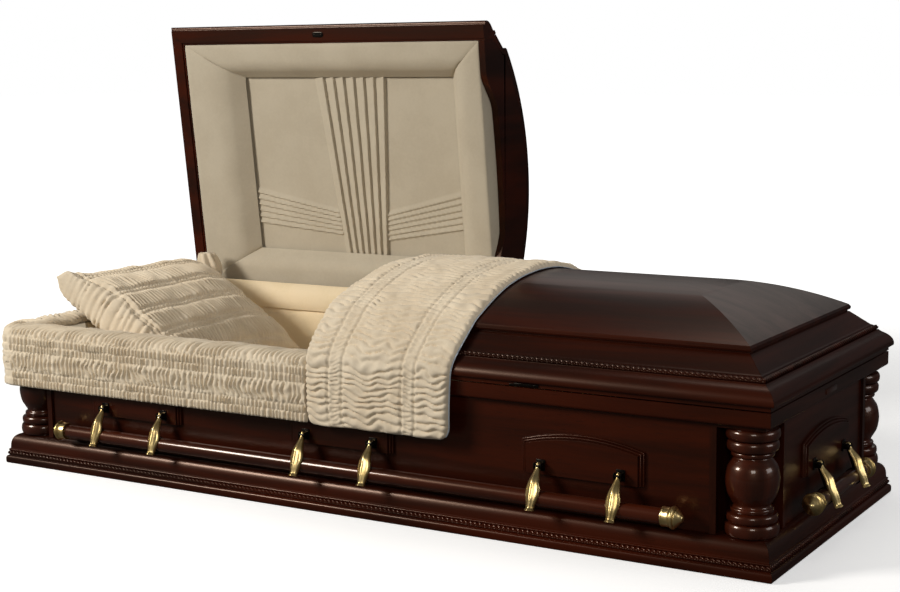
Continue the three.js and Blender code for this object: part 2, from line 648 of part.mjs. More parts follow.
function buildLids() {
  const pivot = new THREE.Group();
  pivot.position.set(0, hingeY, hingeZ);
  pivot.rotation.x = THREE.MathUtils.degToRad(-LID_OPEN_DEG);
  const headLid = new THREE.Group();
  headLid.position.set(0, -hingeY, -hingeZ);
  pivot.add(headLid);
  const footLid = new THREE.Group();
  casket.add(pivot, footLid);
  const spans = [buildLid('head_lid', -1, HEAD_CUT, headLid), buildLid('foot_lid', 1, FOOT_CUT, footLid)];
  buildHeadLining(headLid);
  buildFootLining(footLid);
  buildLatch(headLid, footLid);
  buildCaseHinge(spans);
}

// Interior

// A padded lining follows one half of the case and cuts its corners in front of the posts
function liningStations(end, cutX) {
  const diagonal = 2 * NOTCH + 6 - Math.SQRT2 * LINING_INSET;
  const along = (inset) => diagonal + (Math.SQRT2 - 1) * inset;
  return [
    front(plane(cutX)),
    front((inset) => end * (HALF_L - along(inset))),
    side(end, (inset) => -(HALF_W - along(inset))),
    side(end, (inset) => HALF_W - along(inset)),
    back((inset) => end * (HALF_L - along(inset))),
    back(plane(cutX)),
  ];
}

function liningProfile() {
  const outer = LINING_INSET;
  const inner = LINING_INSET + LINING_THICK;
  const top = Z_RIM - LINING_TOP_DROP;
  return [
    [outer, BASE_HEIGHT + GAP], [inner, BASE_HEIGHT + GAP], [inner, top - 22], [inner - 3, top - 9],
    [inner - 10, top - 1.5], [inner - 16, top], [outer, top],
  ];
}

function mattressGeometry() {
  const inset = LINING_INSET + LINING_THICK + 3;
  const x = HALF_L - inset;
  const y = HALF_W - inset;
  const cutCorner = 2 * NOTCH + 20 - 2 * inset + LINING_THICK;
  const outline = new THREE.Shape([
    [-x + cutCorner, -y], [x - cutCorner, -y], [x, -y + cutCorner], [x, y - cutCorner],
    [x - cutCorner, y], [-x + cutCorner, y], [-x, y - cutCorner], [-x, -y + cutCorner],
  ].map(([px, py]) => new THREE.Vector2(px, py)));
  const edge = 12;
  const height = MATTRESS_TOP - BASE_HEIGHT - GAP;
  const slab = new THREE.ExtrudeGeometry(outline, {
    depth: height - 2 * edge, bevelThickness: edge, bevelSize: edge, bevelOffset: -edge, bevelSegments: 2,
  });
  return slab.translate(0, 0, BASE_HEIGHT + GAP + edge);
}

function pillowGeometry() {
  const ball = new THREE.SphereGeometry(1, 12, 8);
  const spots = ball.attributes.position;
  for (let i = 0; i < spots.count; i += 1) {
    const [x, y, z] = [spots.getX(i), spots.getZ(i), spots.getY(i)];
    const rim = Math.hypot(x, y);
    const towardCorner = rim > 1e-6 ? rim / Math.max(Math.abs(x), Math.abs(y)) : 1;
    const square = 1 + (towardCorner - 1) * PILLOW_SQUARE;
    spots.setXYZ(i, x * square * PILLOW_HALF[0], y * square * PILLOW_HALF[1], z * PILLOW_HALF[2]);
  }
  return turnedInside(ball);
}

function buildInterior() {
  place('lining_head', sweep(liningProfile(), liningStations(-1, SPLIT_X - 1)), CREPE);
  place('lining_foot', sweep(liningProfile(), liningStations(1, SPLIT_X + 1)), CREPE);
  place('mattress', mattressGeometry(), CREPE);
  const pillow = place('pillow', pillowGeometry(), VELVET);
  pillow.position.set(...PILLOW_CENTRE);
  pillow.rotation.y = THREE.MathUtils.degToRad(PILLOW_TILT_DEG);
}

// The extension hangs its ruffle over the front and head rims and carries a padded roll on them

function extensionStations() {
  const centre = (inset) => Math.max(EXTENSION_CORNER, inset + 3);
  const start = SPLIT_X - THROW_OVERHANG - 4;
  const steps = 4;
  const arc = Array.from({ length: steps + 1 }, (_, k) => {
    const turn = (Math.PI / 2) * (k / steps);
    return (inset, height) => new THREE.Vector3(
      -(HALF_L - centre(inset)) - (centre(inset) - inset) * Math.sin(turn),
      -(HALF_W - centre(inset)) - (centre(inset) - inset) * Math.cos(turn),
      height,
    );
  });
  return [front(plane(start)), ...arc, side(-1, plane(HALF_W - EXTENSION_BACK_STOP))];
}

function extensionProfile() {
  const out = -EXTENSION_OUT;
  const rollTop = Z_RIM + EXTENSION_ROLL;
  const sole = Z_RIM + 1.2;
  const hem = Z_RIM - EXTENSION_DROP;
  return [
    [EXTENSION_REACH - 4, sole], [EXTENSION_REACH, sole + 12], [EXTENSION_REACH - 6, rollTop - 13],
    [EXTENSION_REACH - 22, rollTop - 3], [EXTENSION_REACH - 42, rollTop], [out + 22, rollTop - 5],
    [out + 6, rollTop - 20], [out, Z_RIM - 6], [out - 1, hem], [out + 9, hem],
    [out + 13, Z_RIM - 0.5], [RAIL_INSET - 3, sole],
  ];
}

// The throw lies over the foot lid from its front to the back of the crown

function offsetPath(path, distance) {
  return path.map((point, k) => {
    const before = path[Math.max(k - 1, 0)];
    const after = path[Math.min(k + 1, path.length - 1)];
    const [dy, dz] = [after[0] - before[0], after[1] - before[1]];
    const length = Math.hypot(dy, dz);
    return [point[0] - (dz / length) * distance, point[1] + (dy / length) * distance];
  });
}

function throwProfile() {
  const hem = Z_RIM - THROW_DROP;
  const dome = [0.06, 0.14, 0.26, 0.42, 0.65, 1].map((share) => {
    const inset = CROWN_INSET + (HALF_W - CROWN_INSET) * share;
    return [inset - HALF_W, Z_LIP + domeHeight(share) + THROW_CLEAR];
  });
  const over = dome.slice(0, -1).map(([y, z]) => [-y, z]).reverse();
  const inner = [
    [-1 - HALF_W, hem], [-1.5 - HALF_W, (hem + noseTop) / 2], [-1 - HALF_W, noseTop + 2],
    [3 - HALF_W, noseTop + 14], [CROWN_INSET - 3 - HALF_W, Z_LIP + THROW_CLEAR], ...dome, ...over,
  ];
  return [...inner, ...offsetPath(inner, THROW_THICK).reverse()];
}

function buildDrapery() {
  place('extension', sweep(extensionProfile(), extensionStations()), VELVET);
  const stations = [SPLIT_X - THROW_OVERHANG, THROW_RIGHT].map((x) => (y, z) => new THREE.Vector3(x, y, z));
  place('throw', sweep(throwProfile(), stations), VELVET);
}

buildBase();
buildWalls();
mitredFrame('top_rail', topRailProfile(), WOOD);
buildCorners();
buildSides();
buildLids();
buildInterior();
buildDrapery();

export default casket;
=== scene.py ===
"""The looks of a half-couch wooden casket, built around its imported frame.

Sizes are metres unless a name ends in _MM or a docstring says millimetres. +X runs to the foot end, -Y is the
front and +Z is up. The head lid is drawn closed, like the foot lid, and then turned open about the hinge.
"""

from __future__ import annotations

import logging
import math
from collections.abc import Callable, Iterable, Sequence
from dataclasses import dataclass, field
from enum import Enum

import bmesh
import bpy
from bmesh.types import BMEdge, BMesh, BMVert
from bpy.types import Material, Node, NodeSocket, NodeTree, Object
from mathutils import Matrix, Vector, noise


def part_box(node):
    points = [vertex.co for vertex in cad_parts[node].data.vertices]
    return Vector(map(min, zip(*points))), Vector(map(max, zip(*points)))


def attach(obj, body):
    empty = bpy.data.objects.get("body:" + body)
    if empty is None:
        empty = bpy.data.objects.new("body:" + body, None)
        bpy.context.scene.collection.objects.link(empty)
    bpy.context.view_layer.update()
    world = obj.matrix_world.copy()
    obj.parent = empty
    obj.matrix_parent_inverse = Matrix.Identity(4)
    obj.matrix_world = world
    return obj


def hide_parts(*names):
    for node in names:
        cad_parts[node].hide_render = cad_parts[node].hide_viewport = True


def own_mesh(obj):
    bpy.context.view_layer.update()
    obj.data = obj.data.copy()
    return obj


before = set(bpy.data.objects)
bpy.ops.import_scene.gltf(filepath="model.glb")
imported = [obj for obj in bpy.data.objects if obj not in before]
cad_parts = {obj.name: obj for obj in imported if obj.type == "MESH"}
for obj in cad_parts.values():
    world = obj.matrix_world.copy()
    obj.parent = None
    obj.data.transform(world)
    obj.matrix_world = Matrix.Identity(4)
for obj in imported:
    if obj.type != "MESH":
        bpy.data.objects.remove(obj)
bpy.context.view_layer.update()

log = logging.getLogger("casket")

Point = tuple[float, float]
Colour = tuple[float, float, float, float]
# A station places a profile's point from its inset and height, a place takes two shares from 0 to 1.
Station = Callable[[float, float], Vector]
Place = Callable[[float, float], Vector]

MM = 0.001
SEAM_TOP = 0.3475
SPLIT_HEAD = -0.006
SPLIT_FOOT = -0.002
HINGE = Vector((0.0, 0.3945, 0.34625))
LID_OPEN = math.radians(84.0)
OPENED = (
    Matrix.Translation(HINGE)
    @ Matrix.Rotation(-LID_OPEN, 4, "X")
    @ Matrix.Translation(-HINGE)
)


class Axis(Enum):
    """The direction that a board's grain follows."""

    LONG = "long"
    CROSS = "cross"
    UPRIGHT = "upright"


# Shape helpers


def in_metres(points: Iterable[Point]) -> list[Point]:
    """Turns points in millimetres into metres."""
    return [(a * MM, b * MM) for a, b in points]


def smooth_line(points: Sequence[Point], steps: int = 6) -> list[Point]:
    """Draws a smooth line through points.

    Args:
        points: The points that the line passes through.
        steps: Pieces between one point and the next.

    Returns:
        The line's points, first and last included.
    """
    line: list[Point] = []
    last = len(points) - 1
    for k in range(last):
        a, b, c, d = (points[min(max(k + j, 0), last)] for j in (-1, 0, 1, 2))
        for step in range(steps):
            t = step / steps
            line.append(tuple(
                0.5 * (2 * b[i] + (c[i] - a[i]) * t + (2 * a[i] - 5 * b[i] + 4 * c[i] - d[i]) * t * t
                       + (3 * b[i] - a[i] - 3 * c[i] + d[i]) * t ** 3)
                for i in (0, 1)
            ))
    return [*line, tuple(points[-1])]


def arc(centre: Point, radius: float, start: float, end: float, steps: int = 6) -> list[Point]:
    """Draws an arc.

    Args:
        centre: The arc's centre.
        radius: Its radius.
        start: Its first angle, in degrees.
        end: Its last angle, in degrees.
        steps: Pieces that it is made of.

    Returns:
        The arc's points.
    """
    turns = (math.radians(start + (end - start) * k / steps) for k in range(steps + 1))
    return [(centre[0] + radius * math.cos(t), centre[1] + radius * math.sin(t)) for t in turns]


def eased(value: float, low: float, high: float) -> float:
    """Rises smoothly from 0 at low to 1 at high."""
    t = min(max((value - low) / (high - low), 0.0), 1.0)
    return t * t * (3 - 2 * t)


def bump(value: float, centre: float, width: float) -> float:
    """A smooth bump of height 1 that fades out at width from its centre."""
    return 1 - eased(abs(value - centre), 0.0, width)


def wander(a: float, b: float, seed: float) -> float:
    """Smooth noise over two coordinates, about -0.7 to 0.7."""
    return noise.noise(Vector((a, b, seed)))


def gathers(along: float, across: float, pitch: float, seed: float) -> float:
    """The height of cloth that is gathered into irregular folds.

    Args:
        along: Place along the gathered edge, in metres.
        across: Place across it, in metres.
        pitch: Width of one fold.
        seed: Chooses the pattern.

    Returns:
        A height from 0, in a crease, to 1, on a fold.
    """
    drift = 1.2 * wander(along * 11, across * 9, seed) + 0.6 * wander(along * 34, across * 20, seed + 7)
    fold = abs(math.sin(math.pi * (along / pitch + drift)))
    return fold ** 0.8 * (0.80 + 0.4 * wander(along * 21, across * 26, seed + 3))


def vertices_of(geometry: Iterable[object]) -> list[BMVert]:
    """The vertices among the geometry that an operator made."""
    return [item for item in geometry if isinstance(item, BMVert)]


def sweep(bm: BMesh, profile: Sequence[Point], stations: Sequence[Station], ring: bool = True,
          caps: bool = True) -> list[list[BMVert]]:
    """Extrudes a profile from station to station.

    Args:
        bm: The mesh that takes the shape.
        profile: Points of (inset, height).
        stations: Functions that place one profile point.
        ring: True if the profile closes on itself.
        caps: True if the two ends are closed.

    Returns:
        The vertices of each station, in the profile's order.
    """
    first = [bm.verts.new(stations[0](*point)) for point in profile]
    last_edge = len(first) if ring else len(first) - 1
    edges = [bm.edges.new((first[i], first[(i + 1) % len(first)])) for i in range(last_edge)]
    rows = [first]
    for station in stations[1:]:
        made = bmesh.ops.extrude_edge_only(bm, edges=edges)["geom"]
        places = {vert: k for k, vert in enumerate(rows[-1])}
        row: list[BMVert] = [None] * len(first)
        for vert in vertices_of(made):
            origin = next(e.other_vert(vert) for e in vert.link_edges if e.other_vert(vert) in places)
            row[places[origin]] = vert
        for vert, point in zip(row, profile):
            vert.co = station(*point)
        fresh = set(row)
        edges = [e for e in made if isinstance(e, BMEdge) and set(e.verts) <= fresh]
        rows.append(row)
    if caps and ring:
        bm.faces.new(rows[0])
        bm.faces.new(reversed(rows[-1]))
    return rows


def grid(columns: int, rows: int, place: Place) -> BMesh:
    """Makes a grid and puts each of its points in place.

    Args:
        columns: Faces along the first share.
        rows: Faces along the second share.
        place: Gives a point's place from its two shares, each from 0 to 1.

    Returns:
        The new mesh.
    """
    bm = bmesh.new()
    bmesh.ops.create_grid(bm, x_segments=columns, y_segments=rows, size=0.5)
    for vert in bm.verts:
        vert.co = place(vert.co.x + 0.5, vert.co.y + 0.5)
    return bm


def slab(columns: int, rows: int, upper: Place, lower: Place) -> BMesh:
    """Makes a closed slab between two surfaces.

    Args:
        columns: Faces along the first share.
        rows: Faces along the second share.
        upper: Gives a point of the one surface from its two shares.
        lower: Gives a point of the other surface.

    Returns:
        The new mesh.
    """
    bm = bmesh.new()
    bmesh.ops.create_grid(bm, x_segments=columns, y_segments=rows, size=0.5)
    made = bmesh.ops.extrude_face_region(bm, geom=list(bm.faces))["geom"]
    fresh = set(vertices_of(made))
    for vert in bm.verts:
        place = lower if vert in fresh else upper
        vert.co = place(vert.co.x + 0.5, vert.co.y + 0.5)
    return bm


def turned(profile: Sequence[Point], segments: int = 32) -> BMesh:
    """Spins a profile round the Z axis.

    Args:
        profile: Points of (radius, height), with both ends on the axis.
        segments: Steps of the full turn.

    Returns:
        The closed turned shape.
    """
    bm = bmesh.new()
    verts = [bm.verts.new((radius, 0, height)) for radius, height in profile]
    edges = [bm.edges.new(pair) for pair in zip(verts, verts[1:])]
    bmesh.ops.spin(bm, geom=[*verts, *edges], axis=(0, 0, 1), cent=(0, 0, 0), angle=math.tau, steps=segments,
                   use_merge=True, dvec=(0, 0, 0))
    bmesh.ops.remove_doubles(bm, verts=bm.verts, dist=1e-6)
    return bm


def absorb(bm: BMesh, other: BMesh, matrix: Matrix = Matrix()) -> None:
    """Adds another mesh to one, turned and placed by a matrix.

    Args:
        bm: The mesh that grows.
        other: The mesh that is added and then freed.
        matrix: Where it goes.
    """
    carrier = bpy.data.meshes.new("carrier")
    other.to_mesh(carrier)
    other.free()
    carrier.transform(matrix)
    bm.from_mesh(carrier)
    bpy.data.meshes.remove(carrier)


def fill_ends(bm: BMesh) -> None:
    """Closes every open edge loop of a mesh."""
    bmesh.ops.holes_fill(bm, edges=[e for e in bm.edges if e.is_boundary], sides=0)


def back_at(bm: BMesh, height: float) -> None:
    """Closes an open cloth with straight sides and a flat back.

    Args:
        bm: The open cloth.
        height: The back's height.
    """
    rim = [e for e in bm.edges if e.is_boundary]
    for vert in vertices_of(bmesh.ops.extrude_edge_only(bm, edges=rim)["geom"]):
        vert.co.z = height
    fill_ends(bm)


def wrapped(columns: int, rows: int, place: Place, gap: float = 1e-6) -> BMesh:
    """Makes a closed form from a grid whose second share goes all round.

    Args:
        columns: Faces along the first share.
        rows: Faces along the second share.
        place: Gives a point's place from its two shares.
        gap: Points closer than this are merged.

    Returns:
        The closed form.
    """
    bm = grid(columns, rows, place)
    bmesh.ops.remove_doubles(bm, verts=bm.verts, dist=gap)
    fill_ends(bm)
    return bm


def block(size: Sequence[float], softened: float, middle: Sequence[float] = (0.0, 0.0, 0.0)) -> BMesh:
    """Makes a box with softened edges.

    Args:
        size: Its length along each axis.
        softened: The width of its bevels.
        middle: Where its middle lies.

    Returns:
        The box.
    """
    bm = bmesh.new()
    bmesh.ops.create_cube(bm, size=1.0)
    bmesh.ops.scale(bm, verts=bm.verts, vec=size)
    bmesh.ops.translate(bm, verts=bm.verts, vec=middle)
    bmesh.ops.bevel(bm, geom=list(bm.edges), offset=softened, segments=2, profile=0.5, affect="EDGES", material=-1)
    return bm


def laid_along_x(bm: BMesh) -> BMesh:
    """Turns an upright shape so that it lies along X, and gives it back."""
    bmesh.ops.rotate(bm, verts=bm.verts, cent=(0, 0, 0), matrix=Matrix.Rotation(math.pi / 2, 3, "Y"))
    return bm


def piece(bm: BMesh, name: str, material: Material, body: str,
          replaces: Sequence[str] = (), matrix: Matrix = Matrix(), crease: float = 30.0) -> Object:
    """Turns a mesh into a piece that rides on a body.

    Args:
        bm: The finished shape, which is freed.
        name: The piece's name.
        material: Its finish.
        body: The body that it rides on.
        replaces: The CAD nodes that it stands for.
        matrix: A last turn of the whole shape.
        crease: Angle past which an edge stays sharp, in degrees.

    Returns:
        The new object.
    """
    bmesh.ops.transform(bm, matrix=matrix, verts=bm.verts)
    bmesh.ops.recalc_face_normals(bm, faces=bm.faces)
    for face in bm.faces:
        face.smooth = True
    limit = math.radians(crease)
    for edge in bm.edges:
        edge.smooth = not (edge.is_manifold and edge.calc_face_angle(0.0) > limit)
    mesh = bpy.data.meshes.new(name)
    bm.to_mesh(mesh)
    bm.free()
    mesh.materials.append(material)
    obj = bpy.data.objects.new(name, mesh)
    bpy.context.scene.collection.objects.link(obj)
    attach(obj, body)
    if replaces:
        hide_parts(*replaces)
    log.info("made %s", name)
    return obj


# Finishes


class Shader:
    """One material's nodes."""

    def __init__(self, name: str) -> None:
        """Makes the material and keeps its shader.

        Args:
            name: The material's name.
        """
        self.material = bpy.data.materials.new(name)
        self.material.use_nodes = True
        self.tree = self.material.node_tree
        self.surface = self.tree.nodes["Principled BSDF"]

    def add(self, kind: str, **values: object) -> Node:
        """Adds a node.

        Args:
            kind: The node's type.
            values: Its properties, by name.

        Returns:
            The node.
        """
        node = self.tree.nodes.new(kind)
        for key, value in values.items():
            setattr(node, key, value)
        return node

    def link(self, source: NodeSocket, target: NodeSocket) -> None:
        """Joins two sockets."""
        self.tree.links.new(source, target)

    def group(self, tree: NodeTree, scale: Vector, **values: object) -> Node:
        """Places an effect on stretched object coordinates.

        Args:
            tree: The effect's node group.
            scale: How much its pattern is squeezed along each axis.
            values: The group's other inputs.

        Returns:
            The group's node.
        """
        coordinates = self.add("ShaderNodeTexCoord")
        mapping = self.add("ShaderNodeMapping")
        mapping.inputs["Scale"].default_value = scale
        self.link(coordinates.outputs["Object"], mapping.inputs["Vector"])
        node = self.add("ShaderNodeGroup", node_tree=tree)
        self.link(mapping.outputs["Vector"], node.inputs["Vector"])
        for key, value in values.items():
            node.inputs[key].default_value = value
        return node

    def wear(self, effect: Node, strength: float, distance: float) -> None:
        """Gives the surface an effect's colour, roughness and relief.

        Args:
            effect: The effect's node.
            strength: The relief's strength.
            distance: Its depth.
        """
        node = self.add("ShaderNodeBump")
        node.inputs["Strength"].default_value = strength
        node.inputs["Distance"].default_value = distance
        self.link(effect.outputs["Height"], node.inputs["Height"])
        self.link(effect.outputs["Color"], self.surface.inputs["Base Color"])
        self.link(effect.outputs["Roughness"], self.surface.inputs["Roughness"])
        self.link(node.outputs["Normal"], self.surface.inputs["Normal"])

    def fix(self, values: dict[str, object]) -> None:
        """Sets the surface's own values, by name."""
        for key, value in values.items():
            self.surface.inputs[key].default_value = value


class Effect:
    """A node group that several materials share."""

    # A Mix node's sockets for colours; those for numbers bear the same names.
    mix_first = 6
    mix_second = 7
    mix_result = 2

    def __init__(self, name: str, *colours: str) -> None:
        """Makes the group with its sockets.

        Args:
            name: The group's name.
            colours: The names of the colours that it takes.
        """
        self.tree = bpy.data.node_groups.new(name, "ShaderNodeTree")
        self.tree.interface.new_socket("Vector", in_out="INPUT", socket_type="NodeSocketVector")
        for key in colours:
            self.tree.interface.new_socket(key, in_out="INPUT", socket_type="NodeSocketColor")
        for key, kind in (("Color", "Color"), ("Roughness", "Float"), ("Height", "Float")):
            self.tree.interface.new_socket(key, in_out="OUTPUT", socket_type=f"NodeSocket{kind}")
        self.source = self.tree.nodes.new("NodeGroupInput")
        self.target = self.tree.nodes.new("NodeGroupOutput")

    def noise(self, scale: float, detail: float, roughness: float = 0.5) -> Node:
        """Adds noise that follows the group's Vector input.

        Args:
            scale: How fine it is.
            detail: How many finer layers it has.
            roughness: How strong those layers are.

        Returns:
            The noise's node.
        """
        node = self.tree.nodes.new("ShaderNodeTexNoise")
        node.inputs["Scale"].default_value = scale
        node.inputs["Detail"].default_value = detail
        node.inputs["Roughness"].default_value = roughness
        self.tree.links.new(self.source.outputs["Vector"], node.inputs["Vector"])
        return node

    def spread(self, value: NodeSocket, low: float, high: float, to_low: float = 0.0,
               to_high: float = 1.0) -> NodeSocket:
        """Stretches a range of values to another one.

        Args:
            value: The socket that gives the values.
            low: Its low end.
            high: Its high end.
            to_low: What the low end becomes.
            to_high: What the high end becomes.

        Returns:
            The new values' socket.
        """
        node = self.tree.nodes.new("ShaderNodeMapRange")
        node.interpolation_type = "SMOOTHSTEP"
        for key, number in zip(("From Min", "From Max", "To Min", "To Max"), (low, high, to_low, to_high)):
            node.inputs[key].default_value = number
        self.tree.links.new(value, node.inputs["Value"])
        return node.outputs["Result"]

    def mix(self, share: NodeSocket, first: NodeSocket, second: NodeSocket) -> NodeSocket:
        """Mixes two colours.

        Args:
            share: How much of the second one shows.
            first: The first colour's socket.
            second: The second colour's socket.

        Returns:
            The new colour's socket.
        """
        node = self.tree.nodes.new("ShaderNodeMix")
        node.data_type = "RGBA"
        self.tree.links.new(share, node.inputs["Factor"])
        self.tree.links.new(first, node.inputs[self.mix_first])
        self.tree.links.new(second, node.inputs[self.mix_second])
        return node.outputs[self.mix_result]

    def reckon(self, operation: str, first: NodeSocket, second: NodeSocket | float) -> NodeSocket:
        """Reckons with two values.

        Args:
            operation: The Math node's operation.
            first: The first value's socket.
            second: The second value's socket, or a number.

        Returns:
            The result's socket.
        """
        node = self.tree.nodes.new("ShaderNodeMath")
        node.operation = operation
        self.tree.links.new(first, node.inputs[0])
        if isinstance(second, (int, float)):
            node.inputs[1].default_value = second
        else:
            self.tree.links.new(second, node.inputs[1])
        return node.outputs[0]

    def give(self, **values: NodeSocket) -> NodeTree:
        """Joins sockets to the group's outputs.

        Args:
            values: The socket for each output, by name.

        Returns:
            The finished group.
        """
        for key, socket in values.items():
            self.tree.links.new(socket, self.target.inputs[key])
        return self.tree


def grain_effect() -> NodeTree:
    """Mahogany under a dark stain: streaks, slow clouds of tone and fine pores.

    Returns:
        The node group.
    """
    effect = Effect("mahogany grain", "Dark", "Light", "Pore")
    streaks = effect.noise(1.6, 7.0, 0.62)
    streaks.inputs["Distortion"].default_value = 0.35
    clouds = effect.noise(0.45, 2.0)
    pores = effect.noise(26.0, 3.0, 0.7)
    tone = effect.reckon("ADD", effect.reckon("MULTIPLY", streaks.outputs["Fac"], 0.6),
                         effect.reckon("MULTIPLY", clouds.outputs["Fac"], 0.4))
    colour = effect.mix(effect.spread(tone, 0.38, 0.64), effect.source.outputs["Dark"],
                        effect.source.outputs["Light"])
    pore = effect.spread(pores.outputs["Fac"], 0.60, 0.72)
    return effect.give(
        Color=effect.mix(effect.reckon("MULTIPLY", pore, 0.55), colour, effect.source.outputs["Pore"]),
        Roughness=effect.spread(tone, 0.3, 0.7, 0.36, 0.26),
        Height=effect.reckon("SUBTRACT", effect.reckon("MULTIPLY", tone, 0.5), effect.reckon("MULTIPLY", pore, 0.35)),
    )


def patina_effect() -> NodeTree:
    """Plated metal: bright where it is rubbed, darker in slow clouds and specks.

    Returns:
        The node group.
    """
    effect = Effect("metal patina", "Bright", "Dull")
    clouds = effect.noise(30.0, 4.0, 0.6)
    specks = effect.noise(420.0, 2.0)
    share = effect.spread(clouds.outputs["Fac"], 0.42, 0.66)
    return effect.give(
        Color=effect.mix(share, effect.source.outputs["Bright"], effect.source.outputs["Dull"]),
        Roughness=effect.spread(clouds.outputs["Fac"], 0.3, 0.7, 0.27, 0.36),
        Height=specks.outputs["Fac"],
    )


def nap_effect() -> NodeTree:
    """Cloth: patches where the nap lies another way, and a fine weave.

    Returns:
        The node group.
    """
    effect = Effect("cloth nap", "Shade", "Light")
    patches = effect.noise(9.0, 4.0, 0.6)
    threads = effect.noise(520.0, 2.0, 0.6)
    crinkle = effect.noise(140.0, 3.0, 0.6)
    tone = effect.reckon("ADD", effect.reckon("MULTIPLY", patches.outputs["Fac"], 0.7),
                         effect.reckon("MULTIPLY", crinkle.outputs["Fac"], 0.3))
    height = effect.reckon("ADD", effect.reckon("MULTIPLY", threads.outputs["Fac"], 0.5),
                           effect.reckon("MULTIPLY", crinkle.outputs["Fac"], 0.5))
    return effect.give(
        Color=effect.mix(effect.spread(tone, 0.36, 0.64), effect.source.outputs["Shade"],
                         effect.source.outputs["Light"]),
        Roughness=effect.spread(tone, 0.3, 0.7, 0.98, 0.86),
        Height=height,
    )


@dataclass(frozen=True)
class WoodFinish:
    """Polished, dark-stained mahogany."""

    name: str
    dark: Colour = (0.0106, 0.0018, 0.0007, 1.0)
    light: Colour = (0.045, 0.0063, 0.0016, 1.0)
    pore: Colour = (0.006, 0.0018, 0.0012, 1.0)
    coat: float = 0.12
    coat_roughness: float = 0.23

    def material(self, grain: NodeTree, axis: Axis) -> Material:
        """Makes the finish for one direction of grain.

        Args:
            grain: The shared grain effect.
            axis: The direction of the grain.

        Returns:
            The material.
        """
        shader = Shader(f"{self.name}_{axis.value}")
        scale = {Axis.LONG: (0.9, 11.0, 11.0), Axis.CROSS: (11.0, 0.9, 11.0), Axis.UPRIGHT: (11.0, 11.0, 0.9)}[axis]
        effect = shader.group(grain, Vector(scale), Dark=self.dark, Light=self.light, Pore=self.pore)
        shader.wear(effect, 0.12, 0.0008)
        shader.fix({"Coat Weight": self.coat, "Coat Roughness": self.coat_roughness, "Specular IOR Level": 0.34,
                    "Specular Tint": (1.0, 0.60, 0.40, 1.0)})
        return shader.material


@dataclass(frozen=True)
class MetalFinish:
    """Plated or bronzed metal."""

    name: str
    bright: Colour
    dull: Colour

    def material(self, patina: NodeTree) -> Material:
        """Makes the finish.

        Args:
            patina: The shared patina effect.

        Returns:
            The material.
        """
        shader = Shader(self.name)
        effect = shader.group(patina, Vector((1.0, 1.0, 1.0)), Bright=self.bright, Dull=self.dull)
        shader.wear(effect, 0.02, 0.0001)
        shader.fix({"Metallic": 1.0})
        return shader.material


@dataclass(frozen=True)
class ClothFinish:
    """Velvet, crepe or satin."""

    name: str
    shade: Colour
    light: Colour
    sheen: float
    relief: float

    def material(self, nap: NodeTree) -> Material:
        """Makes the finish.

        Args:
            nap: The shared nap effect.

        Returns:
            The material.
        """
        shader = Shader(self.name)
        effect = shader.group(nap, Vector((1.0, 1.0, 1.0)), Shade=self.shade, Light=self.light)
        shader.wear(effect, self.relief, 0.0006)
        shader.fix({"Sheen Weight": self.sheen, "Sheen Roughness": 0.4, "Sheen Tint": (1.0, 0.95, 0.86, 1.0),
                    "Specular IOR Level": 0.2})
        return shader.material


class Palette:
    """Every material of the casket."""

    def __init__(self) -> None:
        """Builds the shared effects and then the materials."""
        grain, patina, nap = grain_effect(), patina_effect(), nap_effect()
        stain = WoodFinish("mahogany")
        self.wood = {axis: stain.material(grain, axis) for axis in Axis}
        turned_stain = WoodFinish("turned_mahogany", dark=(0.0170, 0.0030, 0.0011, 1.0),
                                  light=(0.061, 0.0100, 0.0030, 1.0), coat=0.60, coat_roughness=0.07)
        self.turned_wood = turned_stain.material(grain, Axis.UPRIGHT)
        self.bar_wood = turned_stain.material(grain, Axis.LONG)
        self.bar_wood_cross = turned_stain.material(grain, Axis.CROSS)
        metals = (MetalFinish("antique_brass", (0.85, 0.645, 0.295, 1.0), (0.56, 0.40, 0.155, 1.0)),
                  MetalFinish("dark_bronze", (0.030, 0.026, 0.022, 1.0), (0.012, 0.010, 0.009, 1.0)))
        self.brass, self.bronze = (metal.material(patina) for metal in metals)
        cloths = (ClothFinish("cream_velvet", (0.68, 0.570, 0.420, 1.0), (0.76, 0.655, 0.50, 1.0), 0.35, 0.3),
                  ClothFinish("ivory_crepe", (0.49, 0.425, 0.32, 1.0), (0.53, 0.465, 0.355, 1.0), 0.12, 0.2),
                  # The tan lining's colour is partly the cloth's own warm tan and partly painted light: it is made
                  # brighter to offset the shade that falls inside the case.
                  ClothFinish("tan_lining", (0.79, 0.64, 0.41, 1.0), (0.84, 0.69, 0.47, 1.0), 0.2, 0.2),
                  ClothFinish("grey_satin", (0.52, 0.58, 0.66, 1.0), (0.62, 0.68, 0.76, 1.0), 0.1, 0.1))
        self.velvet, self.crepe, self.lining, self.satin = (cloth.material(nap) for cloth in cloths)

    def dress(self, nodes: Iterable[str], material: Material) -> None:
        """Gives CAD nodes that stay in view a finish.

        Args:
            nodes: The nodes' names.
            material: Their finish.
        """
        for name in nodes:
            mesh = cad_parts[name].data
            mesh.materials.clear()
            mesh.materials.append(material)


# The casket's plan


